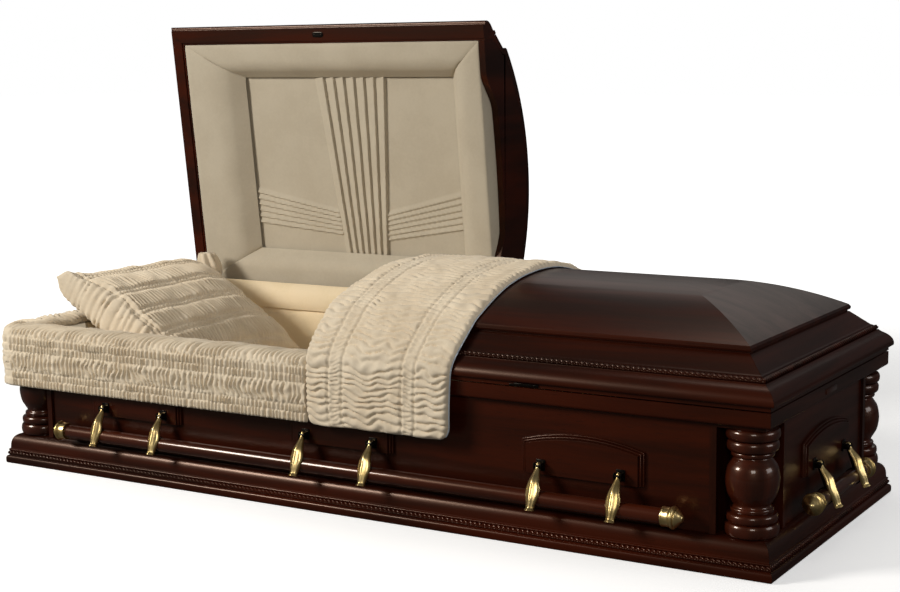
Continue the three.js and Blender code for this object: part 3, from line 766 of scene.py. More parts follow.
@dataclass(frozen=True)
class Plan:
    """The rectangle over the base moulding, from which all insets are taken."""

    half_length: float = 1.065
    half_width: float = 0.400
    mitre: float = 0.00024

    def front(self, x: Callable[[float], float]) -> Station:
        """A station on the front side."""
        return lambda inset, height: Vector((x(inset), inset - self.half_width, height))

    def back(self, x: Callable[[float], float]) -> Station:
        """A station on the back side."""
        return lambda inset, height: Vector((x(inset), self.half_width - inset, height))

    def side(self, end: int, y: Callable[[float], float]) -> Station:
        """A station on the head end (-1) or the foot end (1)."""
        return lambda inset, height: Vector((end * (self.half_length - inset), y(inset), height))

    def corner(self, end: int, hand: int) -> Station:
        """A station on the corner between an end and a side."""
        return lambda inset, height: Vector(
            (end * (self.half_length - inset), hand * (self.half_width - inset), height))

    def corner_x(self, end: int) -> Callable[[float], float]:
        """The X of a mitre at an end."""
        return lambda inset: end * (self.half_length - inset - self.mitre)

    def corner_y(self, hand: int) -> Callable[[float], float]:
        """The Y of a mitre at a side."""
        return lambda inset: hand * (self.half_width - inset - self.mitre)

    def lengths(self) -> dict[str, tuple[Station, Station]]:
        """Finds the two mitred ends of each of the four sides.

        Returns:
            The stations of the ends, by side.
        """
        return {
            "front": (self.front(self.corner_x(-1)), self.front(self.corner_x(1))),
            "back": (self.back(self.corner_x(-1)), self.back(self.corner_x(1))),
            "head": (self.side(-1, self.corner_y(-1)), self.side(-1, self.corner_y(1))),
            "foot": (self.side(1, self.corner_y(-1)), self.side(1, self.corner_y(1))),
        }


PLAN = Plan()


def board_axis(side: str) -> Axis:
    """The grain's direction in a length of moulding on one side."""
    return Axis.LONG if side in ("front", "back") else Axis.CROSS


# The case


@dataclass
class Rope:
    """A carved rope moulding, three strands laid together."""

    radius: float = 0.0060
    pitch: float = 0.012
    strands: int = 3
    sides: int = 18
    steps: int = 4
    hollow: float = 0.46

    def section(self) -> list[Point]:
        """Draws the lobed section.

        Returns:
            Points of (angle, radius).
        """
        angles = [math.tau * k / self.sides for k in range(self.sides)]
        lobe = self.strands / 2
        return [(a, self.radius * (1 - self.hollow + self.hollow * abs(math.cos(lobe * a)) ** 0.7)) for a in angles]

    def straight(self, length: float) -> BMesh:
        """A straight rope along X, from 0 to at least a length.

        Args:
            length: The length to cover.

        Returns:
            The open tube.
        """
        turn = math.tau / self.strands
        stations = []
        for k in range(self.steps + 1):
            share = k / self.steps
            stations.append(lambda angle, radius, s=share: Vector((
                s * self.pitch, radius * math.cos(angle + s * turn), radius * math.sin(angle + s * turn))))
        bm = bmesh.new()
        sweep(bm, self.section(), stations, caps=False)
        made = 1
        while made * self.pitch < length:
            geometry = [*bm.verts, *bm.edges, *bm.faces]
            copy = bmesh.ops.duplicate(bm, geom=geometry)["geom"]
            bmesh.ops.translate(bm, verts=vertices_of(copy), vec=(made * self.pitch, 0, 0))
            made *= 2
        bmesh.ops.remove_doubles(bm, verts=bm.verts, dist=1e-5)
        return bm

    def between(self, start: Vector, end: Vector, start_cut: Vector, end_cut: Vector) -> BMesh:
        """A rope between two points, cut by a plane at each.

        Args:
            start: The first point of its axis.
            end: The last point of its axis.
            start_cut: The outward normal of the first cut.
            end_cut: The outward normal of the last cut.

        Returns:
            The closed rope.
        """
        spare = 3 * self.pitch
        run = end - start
        bm = self.straight(run.length + 2 * spare)
        turn = Matrix.Rotation(math.atan2(run.y, run.x), 4, "Z")
        place = Matrix.Translation(start) @ turn @ Matrix.Translation((-spare, 0, 0))
        bmesh.ops.transform(bm, verts=bm.verts, matrix=place)
        for point, normal in ((start, start_cut), (end, end_cut)):
            geometry = [*bm.verts, *bm.edges, *bm.faces]
            bmesh.ops.bisect_plane(bm, geom=geometry, plane_co=point, plane_no=normal, clear_outer=True)
        fill_ends(bm)
        return bm

    def run(self, points: Sequence[Vector], closed: bool) -> BMesh:
        """A mitred rope through points on one level.

        Args:
            points: The corners, and the two ends of an open run.
            closed: True if it goes all round.

        Returns:
            The whole rope.
        """
        whole = bmesh.new()
        count = len(points) if closed else len(points) - 1
        for k in range(count):
            start, end = points[k], points[(k + 1) % len(points)]
            way = (end - start).normalized()
            before = (start - points[k - 1]).normalized() if closed or k else way
            after = (points[(k + 2) % len(points)] - end).normalized() if closed or k < count - 1 else way
            absorb(whole, self.between(start, end, -(way + before).normalized(), (way + after).normalized()))
        return whole


@dataclass
class Base:
    """The base moulding with its bead, groove, rope and cove, and the bottom board."""

    palette: Palette
    rope_height: float = 0.027
    rope_inset: float = 0.0095
    deck_inset_mm: float = 152.0
    top_mm: float = 77.0
    thick_mm: float = 40.0
    deck_mm: float = 15.0

    def profile(self) -> list[Point]:
        """Draws the moulding's section.

        Returns:
            Points of (inset, height), in metres.
        """
        foot = smooth_line([(3, 0), (0.8, 1.8), (0, 6), (0, 13), (1.4, 17.8), (5, 20.4), (7.2, 21.6)], 4)
        groove = [(14.9, 21.6), (14.9, 32.4), (7.6, 32.4)]
        bead_line = arc((8.0, 35.3), 2.2, 250, 110, 6)
        cove = smooth_line([(10, 40.4), (10.2, 47), (11.4, 56), (14.6, 65), (19.6, 71.6), (26, 75.6), (33, 77)], 5)
        back = [(self.deck_inset_mm, self.top_mm), (self.deck_inset_mm, self.top_mm - self.deck_mm),
                (self.thick_mm, self.top_mm - self.deck_mm), (self.thick_mm, 0)]
        return in_metres([*foot, *groove, *bead_line, (9.4, 38.6), *cove, *back])

    def build(self) -> None:
        """Makes the four lengths, the rope and the bottom board's finish."""
        for side, stations in PLAN.lengths().items():
            bm = bmesh.new()
            sweep(bm, self.profile(), stations)
            piece(bm, f"base_{side}", self.palette.wood[board_axis(side)], "case", [f"base_moulding_{side}"])
        corners = [PLAN.corner(end, hand)(self.rope_inset, self.rope_height)
                   for end, hand in ((-1, -1), (1, -1), (1, 1), (-1, 1))]
        piece(Rope().run(corners, True), "rope_of_base", self.palette.wood[Axis.LONG], "case", ["base_rope"])
        self.palette.dress(["bottom_board"], self.palette.wood[Axis.LONG])


@dataclass
class Case:
    """The walls, the top rails, the corner posts and the turned columns."""

    palette: Palette
    rail_inset_mm: float = 12.0
    rail_width_mm: float = 48.0
    rail_low_mm: float = 311.0
    column_inset: float = 0.0715
    column_radius: float = 0.0565

    def rail_profile(self) -> list[Point]:
        """Draws the top rail's section, with a rounded lower edge.

        Returns:
            Points of (inset, height), in metres.
        """
        face, low = self.rail_inset_mm, self.rail_low_mm
        inner = face + self.rail_width_mm
        nose = arc((face + 6.5, low + 6.5), 6.5, 270, 180, 7)
        return in_metres([(inner, low), *nose, (face, 344.2), (face + 0.8, 345), (inner, 345)])

    def column_profile(self, height: float) -> list[Point]:
        """The column's outline from foot to head.

        Args:
            height: The column's height.

        Returns:
            Points of (radius, height).
        """
        swells = [(0.006, 0.122, 0.86, 1.0), (0.128, 0.212, 0.80, 0.945), (0.222, 0.262, 0.74, 0.80)]
        caps = [(0.738, 0.778, 0.74, 0.80), (0.788, 0.888, 0.80, 0.955), (0.896, 0.994, 0.84, 0.99)]
        shares: list[Point] = [(0.0, 0.0), (0.86, 0.0)]
        for group, middle in ((swells, True), (caps, False)):
            for low, high, neck, swell in group:
                for k in range(9):
                    turn = math.pi * k / 8
                    shares.append((neck + (swell - neck) * math.sin(turn) ** 0.55 if 0 < k < 8 else neck,
                                   low + (high - low) * (1 - math.cos(turn)) / 2))
            if middle:
                shares += smooth_line([(0.705, 0.272), (0.70, 0.292), (0.80, 0.335), (0.93, 0.40), (1.0, 0.515),
                                       (0.93, 0.63), (0.80, 0.688), (0.70, 0.722), (0.705, 0.732)], 5)
        shares += [(0.86, 1.0), (0.0, 1.0)]
        return [(out * self.column_radius, up * height) for out, up in shares]

    def end_plate(self) -> None:
        """Makes the small plain plate on the foot end's top rail."""
        bm = block((0.0018, 0.068, 0.0120), 0.0005)
        place = Matrix.Translation((PLAN.half_length - self.rail_inset_mm * MM + 0.0006, -0.025, 0.3285))
        piece(bm, "end_plate", self.palette.bar_wood_cross, "case", matrix=place)

    def build(self) -> None:
        """Makes the rails and columns and finishes the boards."""
        self.end_plate()
        for side, stations in PLAN.lengths().items():
            bm = bmesh.new()
            sweep(bm, self.rail_profile(), stations)
            piece(bm, f"rail_{side}", self.palette.wood[board_axis(side)], "case", [f"top_rail_{side}"])
        for name in ("head_front", "foot_front", "foot_back", "head_back"):
            low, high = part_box(f"corner_column_{name}")
            end = 1 if "foot" in name else -1
            hand = -1 if "front" in name else 1
            bm = turned(self.column_profile(high[2] - low[2]), 56)
            middle = Matrix.Translation((end * (PLAN.half_length - self.column_inset),
                                         hand * (PLAN.half_width - self.column_inset), low[2]))
            piece(bm, f"column_{name}", self.palette.turned_wood, "case", [f"corner_column_{name}"], middle)
            self.palette.dress([f"corner_post_{name}"], self.palette.wood[Axis.UPRIGHT])
        self.palette.dress(["wall_front", "wall_back"], self.palette.wood[Axis.LONG])
        self.palette.dress(["wall_head", "wall_foot"], self.palette.wood[Axis.CROSS])
        self.palette.dress(["case_hinge"], self.palette.bronze)


class Wall(Enum):
    """A wall of the case: its turn, its place, the middles of its panels and half its bar's length."""

    FRONT = (0.0, (0.0, -0.366), (-0.626, 0.0, 0.626), 0.830)
    BACK = (180.0, (0.0, 0.366), (-0.626, 0.0, 0.626), 0.830)
    FOOT = (90.0, (1.031, 0.0), (0.0,), 0.152)
    HEAD = (-90.0, (-1.031, 0.0), (0.0,), 0.152)

    @property
    def matrix(self) -> Matrix:
        """Places what is drawn for a wall that faces -Y with its face at y = 0."""
        turn, spot, _, _ = self.value
        return Matrix.Translation((*spot, 0.0)) @ Matrix.Rotation(math.radians(turn), 4, "Z")

    @property
    def label(self) -> str:
        """The wall's name."""
        return self.name.lower()

    @property
    def middles(self) -> tuple[float, ...]:
        """The X of the middle of each panel, and of each pair of handle arms."""
        return self.value[2]

    @property
    def bar_half(self) -> float:
        """Half the length of the handle's bar."""
        return self.value[3]

    @property
    def long(self) -> bool:
        """True for the two long walls."""
        return self in (Wall.FRONT, Wall.BACK)


@dataclass
class ArchedPanel:
    """An applied panel with an arched head and a reeded edge."""

    palette: Palette
    half_width: float = 0.146
    bottom: float = 0.157
    side: float = 0.073
    rise: float = 0.022
    steps: int = 20

    def station(self, share: float | None, hand: int) -> Station:
        """A station on the panel's outline.

        Args:
            share: Place along the arch from -1 to 1, or None for the foot of a side.
            hand: The side, for a station at the foot.

        Returns:
            A function of (reveal, depth).
        """
        def spot(reveal: float, depth: float) -> Vector:
            """Places a point of the section.

            Args:
                reveal: How far it lies inside the outline.
                depth: How far it stands out.

            Returns:
                The point.
            """
            half = self.half_width - reveal
            if share is None:
                return Vector((hand * half, -depth, self.bottom))
            top = self.bottom + self.side - reveal * 0.6
            return Vector((share * half, -depth, top + (self.rise - reveal * 0.4) * (1 - share * share)))
        return spot

    def build(self, wall: Wall) -> None:
        """Makes a wall's panels.

        Args:
            wall: The wall.
        """
        reeds = [(0.0, 3.2), *arc((2.6, 3.6), 2.4, 170, 20, 6), *arc((8.2, 6.6), 2.6, 175, 20, 6)]
        profile = in_metres([(0, 0.3), *reeds, (11.6, 7.4), (12.2, 11.2), (13.2, 12.0)])
        shares = [1 - 2 * k / self.steps for k in range(self.steps + 1)]
        stations = [self.station(None, 1), *(self.station(s, 0) for s in shares), self.station(None, -1)]
        for k, middle in enumerate(wall.middles):
            bm = bmesh.new()
            rows = sweep(bm, profile, stations, ring=False)
            bm.faces.new([row[-1] for row in rows])
            bm.faces.new([row[0] for row in reversed(rows)])
            bm.faces.new([*rows[0], *reversed(rows[-1])])
            suffix = f"_{k + 1}" if len(wall.middles) > 1 else ""
            node = f"arched_panel_{wall.label}{suffix}"
            place = wall.matrix @ Matrix.Translation((middle, 0, 0))
            wood = self.palette.wood[Axis.LONG if wall.long else Axis.CROSS]
            piece(bm, f"panel_{wall.label}{suffix}", wood, "case", [node], place)


@dataclass
class Handle:
    """A swing bar with turned caps, leaf-shaped arms and the lugs on the wall."""

    palette: Palette
    pivot: Vector = field(default_factory=lambda: Vector((0.0, -0.025, 0.178)))
    bar: Vector = field(default_factory=lambda: Vector((0.0, -0.039, 0.111)))
    bar_radius: float = 0.017
    arm_spacing: float = 0.190
    arm_length: float = 0.106
    arm_tip: float = 0.008
    arm_half_width: float = 0.0166
    lean: float = math.atan2(0.025, 0.067)

    def rod(self, half: float) -> BMesh:
        """Makes the wooden bar, with a shoulder at each cap.

        Args:
            half: Half its length.

        Returns:
            The bar.
        """
        r = self.bar_radius
        edge = smooth_line([(r - 0.002, -half + 0.001), (r - 0.0006, -half + 0.004), (r, -half + 0.009)], 3)
        profile = [(0.0, -half), (r - 0.002, -half), *edge]
        mirrored = [(radius, -along) for radius, along in reversed(profile)]
        bm = laid_along_x(turned([*profile, *mirrored], 32))
        bmesh.ops.translate(bm, verts=bm.verts, vec=self.bar)
        return bm

    def cap(self, start: float, hand: int) -> BMesh:
        """A turned cap: a sleeve, a collar, and steps up to a button.

        Args:
            start: Where it starts along the bar, from the middle.
            hand: 1 for the right end, -1 for the left end.

        Returns:
            The cap.
        """
        steps = [(20.6, 0), (21.2, 1.2), (21.2, 2.6), (20.2, 3.4), (20.6, 6), (20.6, 15), (21.8, 17.2), (20.4, 19.4)]
        collar = arc((21.2, 24.0), 3.3, -80, 80, 8)
        dome = [(19.6, 28.4), (20.2, 30.0), (19.4, 32.0), (16.2, 33.2), (15.4, 35.4), (12.4, 37.0), (11.0, 39.0),
                (8.6, 40.4), (7.8, 42.2), (5.8, 44.2), (3.0, 45.0), (0, 45.2)]
        bm = turned(in_metres([(0, 0), *steps, *collar, *dome]), 40)
        turn = Matrix.Rotation(hand * math.pi / 2, 4, "Y")
        shift = Matrix.Translation(self.bar + Vector((hand * start, 0, 0)))
        bmesh.ops.transform(bm, verts=bm.verts, matrix=shift @ turn)
        return bm

    def width(self, down: float) -> float:
        """Finds a leaf's half width.

        Args:
            down: Share of its length, from the top.

        Returns:
            The half width, in metres.
        """
        line = smooth_line([(0.0, 0.18), (0.04, 0.29), (0.09, 0.25), (0.13, 0.31), (0.30, 0.62), (0.48, 0.92),
                            (0.60, 1.0), (0.70, 0.94), (0.86, 0.66), (0.95, 0.60), (1.0, 0.70)], 4)
        after = next((k for k, point in enumerate(line) if point[0] >= down), len(line) - 1)
        (a, wa), (b, wb) = line[max(after - 1, 0)], line[after]
        share = 0.0 if b <= a else (down - a) / (b - a)
        return self.arm_half_width * (wa + (wb - wa) * min(share, 1.0))

    def leaf(self) -> BMesh:
        """Makes a fluted leaf, hung from the pivot at the origin and leaning out over the bar.

        Returns:
            The leaf.
        """
        def spot(across: float, down: float) -> Vector:
            """Places a point of the leaf's face.

            Args:
                across: Share of its width.
                down: Share of its length, from the top.

            Returns:
                The point.
            """
            side = across * 2 - 1
            half = self.width(down)
            swell = eased(down, 0.08, 0.45) * (1 - 0.3 * eased(down, 0.75, 1.0))
            crown = (1 - abs(side) ** 2.2) * (0.0034 + 0.0062 * swell)
            flute = 0.0010 * swell * math.cos(side * math.tau) * (1 - side ** 4)
            out = 0.0068 * eased(down, 0.05, 0.45)
            lip = 0.0030 * eased(down, 0.93, 1.0)
            ring = 0.0014 * bump(down, 0.045, 0.05)
            return Vector((side * half, -0.0012 - out - crown - flute - lip - ring,
                           self.arm_tip - down * self.arm_length))
        bm = grid(24, 60, spot)
        bmesh.ops.recalc_face_normals(bm, faces=bm.faces)
        back = bmesh.ops.extrude_face_region(bm, geom=list(bm.faces))["geom"]
        for vert in vertices_of(back):
            down = (self.arm_tip - vert.co.z) / self.arm_length
            vert.co = Vector((vert.co.x * 0.94, 0.0030 - 0.0068 * eased(down, 0.05, 0.45), vert.co.z))
        return bm

    def shank(self) -> BMesh:
        """Makes the dark bracket behind a leaf: an eye on the pin and a stem.

        Returns:
            The bracket.
        """
        bm = block((0.0075, 0.0078, 0.058), 0.0015, (0, 0.0030, -0.0285))
        eye = turned(in_metres([(0, -5.6), (4.6, -5.6), (5.4, -4.8), (5.4, 4.8), (4.6, 5.6), (0, 5.6)]), 20)
        absorb(bm, eye, Matrix.Rotation(math.pi / 2, 4, "Y"))
        return bm

    def clasp(self) -> BMesh:
        """Makes the collar that wraps the bar under a leaf.

        Returns:
            The collar.
        """
        r = self.bar_radius * 1000
        outline = [(r - 0.4, -7.5), (r + 1.4, -7.5), (r + 2.2, -6.4), (r + 1.6, -4.8), (r + 1.6, 4.8), (r + 2.2, 6.4),
                   (r + 1.4, 7.5), (r - 0.4, 7.5)]
        bm = bmesh.new()
        verts = [bm.verts.new((a * MM, 0, b * MM)) for a, b in outline]
        edges = [bm.edges.new((verts[k], verts[(k + 1) % len(verts)])) for k in range(len(verts))]
        bmesh.ops.spin(bm, geom=[*verts, *edges], axis=(0, 0, 1), cent=(0, 0, 0), angle=math.tau, steps=32,
                       use_merge=True, dvec=(0, 0, 0))
        return laid_along_x(bm)

    def lug(self) -> BMesh:
        """Makes two ears on a small plate, with the pin between them.

        Returns:
            The lug.
        """
        bm = bmesh.new()
        for hand in (-1, 1):
            ear = block((0.003, 0.0175, 0.014), 0.0012)
            absorb(bm, ear, Matrix.Translation((hand * 0.0083, -0.02175, self.pivot.z)))
        absorb(bm, block((0.0206, 0.0032, 0.025), 0.0011), Matrix.Translation((0, -0.0134, self.pivot.z)))
        pin = turned(in_metres([(0, -11.4), (2.2, -11.4), (3.0, -10.6), (2.5, -9.8), (2.5, 9.8), (3.0, 10.6),
                                (2.2, 11.4), (0, 11.4)]), 16)
        absorb(bm, pin, Matrix.Translation(self.pivot) @ Matrix.Rotation(math.pi / 2, 4, "Y"))
        return bm

    def build(self, wall: Wall) -> None:
        """Makes one wall's handle and its lugs.

        Args:
            wall: The wall.
        """
        label, half = wall.label, wall.bar_half
        body, place = f"handle_{label}", wall.matrix
        spots = [middle + hand * self.arm_spacing / 2 for middle in wall.middles for hand in (-1, 1)]
        rod_wood = self.palette.bar_wood if wall.long else self.palette.bar_wood_cross
        piece(self.rod(half), f"bar_{label}", rod_wood, body, [body], place)
        caps = self.cap(half, 1)
        absorb(caps, self.cap(half, -1))
        piece(caps, f"bar_caps_{label}", self.palette.brass, body, matrix=place, crease=50)
        leaves, shanks, lugs = bmesh.new(), bmesh.new(), bmesh.new()
        for x in spots:
            hung = Matrix.Translation(Vector((x, 0, 0)) + self.pivot) @ Matrix.Rotation(-self.lean, 4, "X")
            absorb(leaves, self.leaf(), hung)
            absorb(shanks, self.shank(), hung)
            absorb(shanks, self.clasp(), Matrix.Translation(Vector((x, 0, 0)) + self.bar))
            absorb(lugs, self.lug(), Matrix.Translation((x, 0, 0)))
        piece(leaves, f"arms_{label}", self.palette.brass, body, matrix=place, crease=45)
        piece(shanks, f"arm_shanks_{label}", self.palette.bronze, body, matrix=place)
        piece(lugs, f"lugs_{label}", self.palette.bronze, "case", matrix=place)


# The lids


@dataclass
class Dome:
    """The crown's curve: a dome hipped at its end."""

    foot: float = 0.461
    rise: float = 0.0825
    power: float = 2.1
    inset: float = 0.083
    thick: float = 0.014

    def height(self, share: float) -> float:
        """The dome's height above its foot, at a share of the way to its ridge."""
        return self.rise * (1 - (1 - share) ** self.power)

    def line(self, inset: float, lift: float, steps: int) -> list[Point]:
        """The curve from its foot to its ridge.

        Args:
            inset: Where it starts.
            lift: Added to its height.
            steps: Pieces that it is made of.

        Returns:
            Points of (inset, height).
        """
        run = PLAN.half_width - inset
        shares = [(k / steps) ** 1.35 for k in range(steps + 1)]
        return [(inset + run * s, self.foot + lift + self.height(s)) for s in shares]


@dataclass
class Lid:
    """One lid: its rails, crown, rope and header board."""

    palette: Palette
    label: str
    end: int
    cut: float
    opened: bool
    dome: Dome = field(default_factory=Dome)
    header_thick: float = 0.018
    arch: float = 0.053
    arch_half: float = 0.268
    rope_inset: float = 0.0377
    rope_height: float = 0.40458

    @property
    def matrix(self) -> Matrix:
        """The turn that opens the lid, or none."""
        return OPENED if self.opened else Matrix()

    def square(self, _inset: float) -> float:
        """The X of the lid's cut end, the same at every inset."""
        return self.cut

    def rail_profile(self) -> list[Point]:
        """Draws the section of a lid rail: fascia, nose, ogee, ledge and sloping band.

        Returns:
            Points of (inset, height), in metres.
        """
        z = SEAM_TOP / MM
        nose = smooth_line([(12, z + 8.2), (10.8, z + 9.6), (6, z + 10.4), (3.4, z + 12.2), (2.4, z + 16.5),
                            (4.0, z + 24.5), (8.5, z + 32.5), (16, z + 40), (24, z + 45.4), (29.4, z + 49.4),
                            (31.2, z + 51.7)], 4)
        ledge = [(43.1, z + 51.7), (43.1, z + 62.2), (44.2, z + 63.6)]
        band = smooth_line([(46, z + 64.6), (58, z + 75), (72, z + 87.2), (84, z + 97.6)], 3)
        inside = [(86, z + 99), (98, z + 99), (98, z + 92), (62, z + 57), (52, z + 47), (52, z + 3), (46, z + 3),
                  (46, z)]
        return in_metres([(12.6, z), (12, z + 0.6), *nose, *ledge, *band, *inside])

    def rails(self) -> None:
        """Makes the three lengths of rail."""
        mitred = PLAN.corner_x(self.end)
        lengths = {
            "front": (PLAN.front(self.square), PLAN.front(mitred)),
            "back": (PLAN.back(self.square), PLAN.back(mitred)),
            "end": (PLAN.side(self.end, PLAN.corner_y(-1)), PLAN.side(self.end, PLAN.corner_y(1))),
        }
        for side, stations in lengths.items():
            bm = bmesh.new()
            sweep(bm, self.rail_profile(), stations)
            axis = Axis.CROSS if side == "end" else Axis.LONG
            piece(bm, f"{self.label}_lid_{side}", self.palette.wood[axis], f"{self.label}_lid",
                  [f"{self.label}_lid_rail_{side}"], self.matrix)

    def crown(self) -> None:
        """Makes the hipped dome with the bead at its foot."""
        dome, start = self.dome, self.dome.inset
        lip = 0.4468
        outer = dome.line(start, 0.0, 26)
        foot = [(start + 0.006, lip), (start + 0.006, lip + 0.003), (start + 0.0012, lip + 0.0046),
                (start, lip + 0.008), (start + 0.0004, lip + 0.0115), (start + 0.0024, lip + 0.0138)]
        hidden = start + 0.006 + dome.thick * 0.8
        inner = [(hidden, lip), (hidden, lip + 0.008), *dome.line(hidden, -dome.thick, 14)[1:]]
        profile = [*reversed(inner), *foot, *outer[1:]]
        stations = [PLAN.front(self.square), PLAN.corner(self.end, -1), PLAN.corner(self.end, 1),
                    PLAN.back(self.square)]
        bm = bmesh.new()
        sweep(bm, profile, stations, ring=False)
        bmesh.ops.remove_doubles(bm, verts=bm.verts, dist=1e-6)
        bmesh.ops.triangle_fill(bm, use_beauty=True, use_dissolve=False,
                                edges=[e for e in bm.edges if e.is_boundary])
        piece(bm, f"{self.label}_lid_dome", self.palette.wood[Axis.LONG], f"{self.label}_lid",
              [f"{self.label}_lid_crown"], self.matrix, crease=16)

    def header(self) -> None:
        """Makes the board across the lid's cut end, with its curved cut-out."""
        gap, z = 0.0003, SEAM_TOP
        throat = 0.1005
        half = [(0.0523, z + gap), (0.0523, z + 0.047), (0.0623, z + 0.0567), (throat, z + 0.0917),
                (throat, z + 0.1067), *self.dome.line(throat, -self.dome.thick - 0.0005, 12)]
        left = [(inset - PLAN.half_width, height) for inset, height in half]
        arch: list[Point] = []
        for k in range(29):
            y = self.arch_half * (1 - k / 28)
            step = eased(self.arch_half - y, 0, self.arch_half * 0.4)
            crown = 1 - (y / self.arch_half) ** 2
            arch.append((y, z + gap + self.arch * (0.75 * step + 0.25 * step * crown)))
        right = [(-y, height) for y, height in reversed(left[:-1])]
        outline = [*left, *right, *arch, *((-y, height) for y, height in reversed(arch[:-1]))]
        faces = (self.cut, self.cut + self.end * self.header_thick)
        stations = [lambda y, height, x=x: Vector((x, y, height)) for x in faces]
        bm = bmesh.new()
        sweep(bm, outline, stations)
        piece(bm, f"{self.label}_lid_header_board", self.palette.wood[Axis.CROSS], f"{self.label}_lid",
              [f"{self.label}_lid_header"], self.matrix)

    def build(self) -> None:
        """Makes the whole lid."""
        self.rails()
        self.crown()
        self.header()
        ends = [Vector((self.cut, self.rope_inset - PLAN.half_width, self.rope_height)),
                PLAN.corner(self.end, -1)(self.rope_inset, self.rope_height),
                PLAN.corner(self.end, 1)(self.rope_inset, self.rope_height),
                Vector((self.cut, PLAN.half_width - self.rope_inset, self.rope_height))]
        piece(Rope().run(ends, False), f"{self.label}_lid_rope_moulding", self.palette.wood[Axis.LONG],
              f"{self.label}_lid", [f"{self.label}_lid_rope"], self.matrix)
        self.palette.dress([f"{self.label}_lid_hinge"], self.palette.bronze)


@dataclass
class Latch:
    """The keeper under the head lid and the catch on the foot lid."""

    palette: Palette
    keeper_x: float = -0.5325
    keeper_y: float = -0.371

    def keeper(self) -> None:
        """Makes an oval plate with a slot and two screws."""
        bm = turned(in_metres([(0, 0.2), (7.0, 0.2), (7.5, 0.0), (7.5, -0.8), (6.8, -1.3), (5.2, -1.3), (4.8, -0.9),
                               (0, -0.9)]), 36)
        for vert in bm.verts:
            vert.co.x += math.copysign(0.0105, vert.co.x) * min(1.0, abs(vert.co.x) / 0.002)
        for hand in (-1, 1):
            screw = turned(in_metres([(0, -0.6), (2.4, -0.6), (2.6, -1.2), (1.8, -1.9), (0, -2.1)]), 16)
            absorb(bm, screw, Matrix.Translation((hand * 0.0115, 0, 0)))
        place = OPENED @ Matrix.Translation((self.keeper_x, self.keeper_y, SEAM_TOP - 0.0003))
        piece(bm, "keeper_plate", self.palette.bronze, "head_lid", ["latch_keeper"], place, 40)

    def catch(self) -> None:
        """Makes a slim plate with a hook and a screw."""
        low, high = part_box("latch_catch")
        bm = bmesh.new()
        for size, spot in (((0.060, 0.0022, 0.0060), (0.006, 0, 0)), ((0.014, 0.0024, 0.0042), (-0.029, 0, -0.0012)),
                           ((0.020, 0.0024, 0.0030), (0.0, 0, 0.0015))):
            absorb(bm, block(size, 0.0006), Matrix.Translation(spot))
        screw = turned(in_metres([(0, 0.9), (1.9, 0.9), (2.2, 1.4), (1.4, 1.9), (0, 2.0)]), 14)
        absorb(bm, screw, Matrix.Translation((0.026, 0, 0)) @ Matrix.Rotation(math.pi / 2, 4, "X"))
        middle = (Vector(low) + Vector(high)) / 2
        piece(bm, "catch_plate", self.palette.bronze, "foot_lid", ["latch_catch"],
              Matrix.Translation(middle))


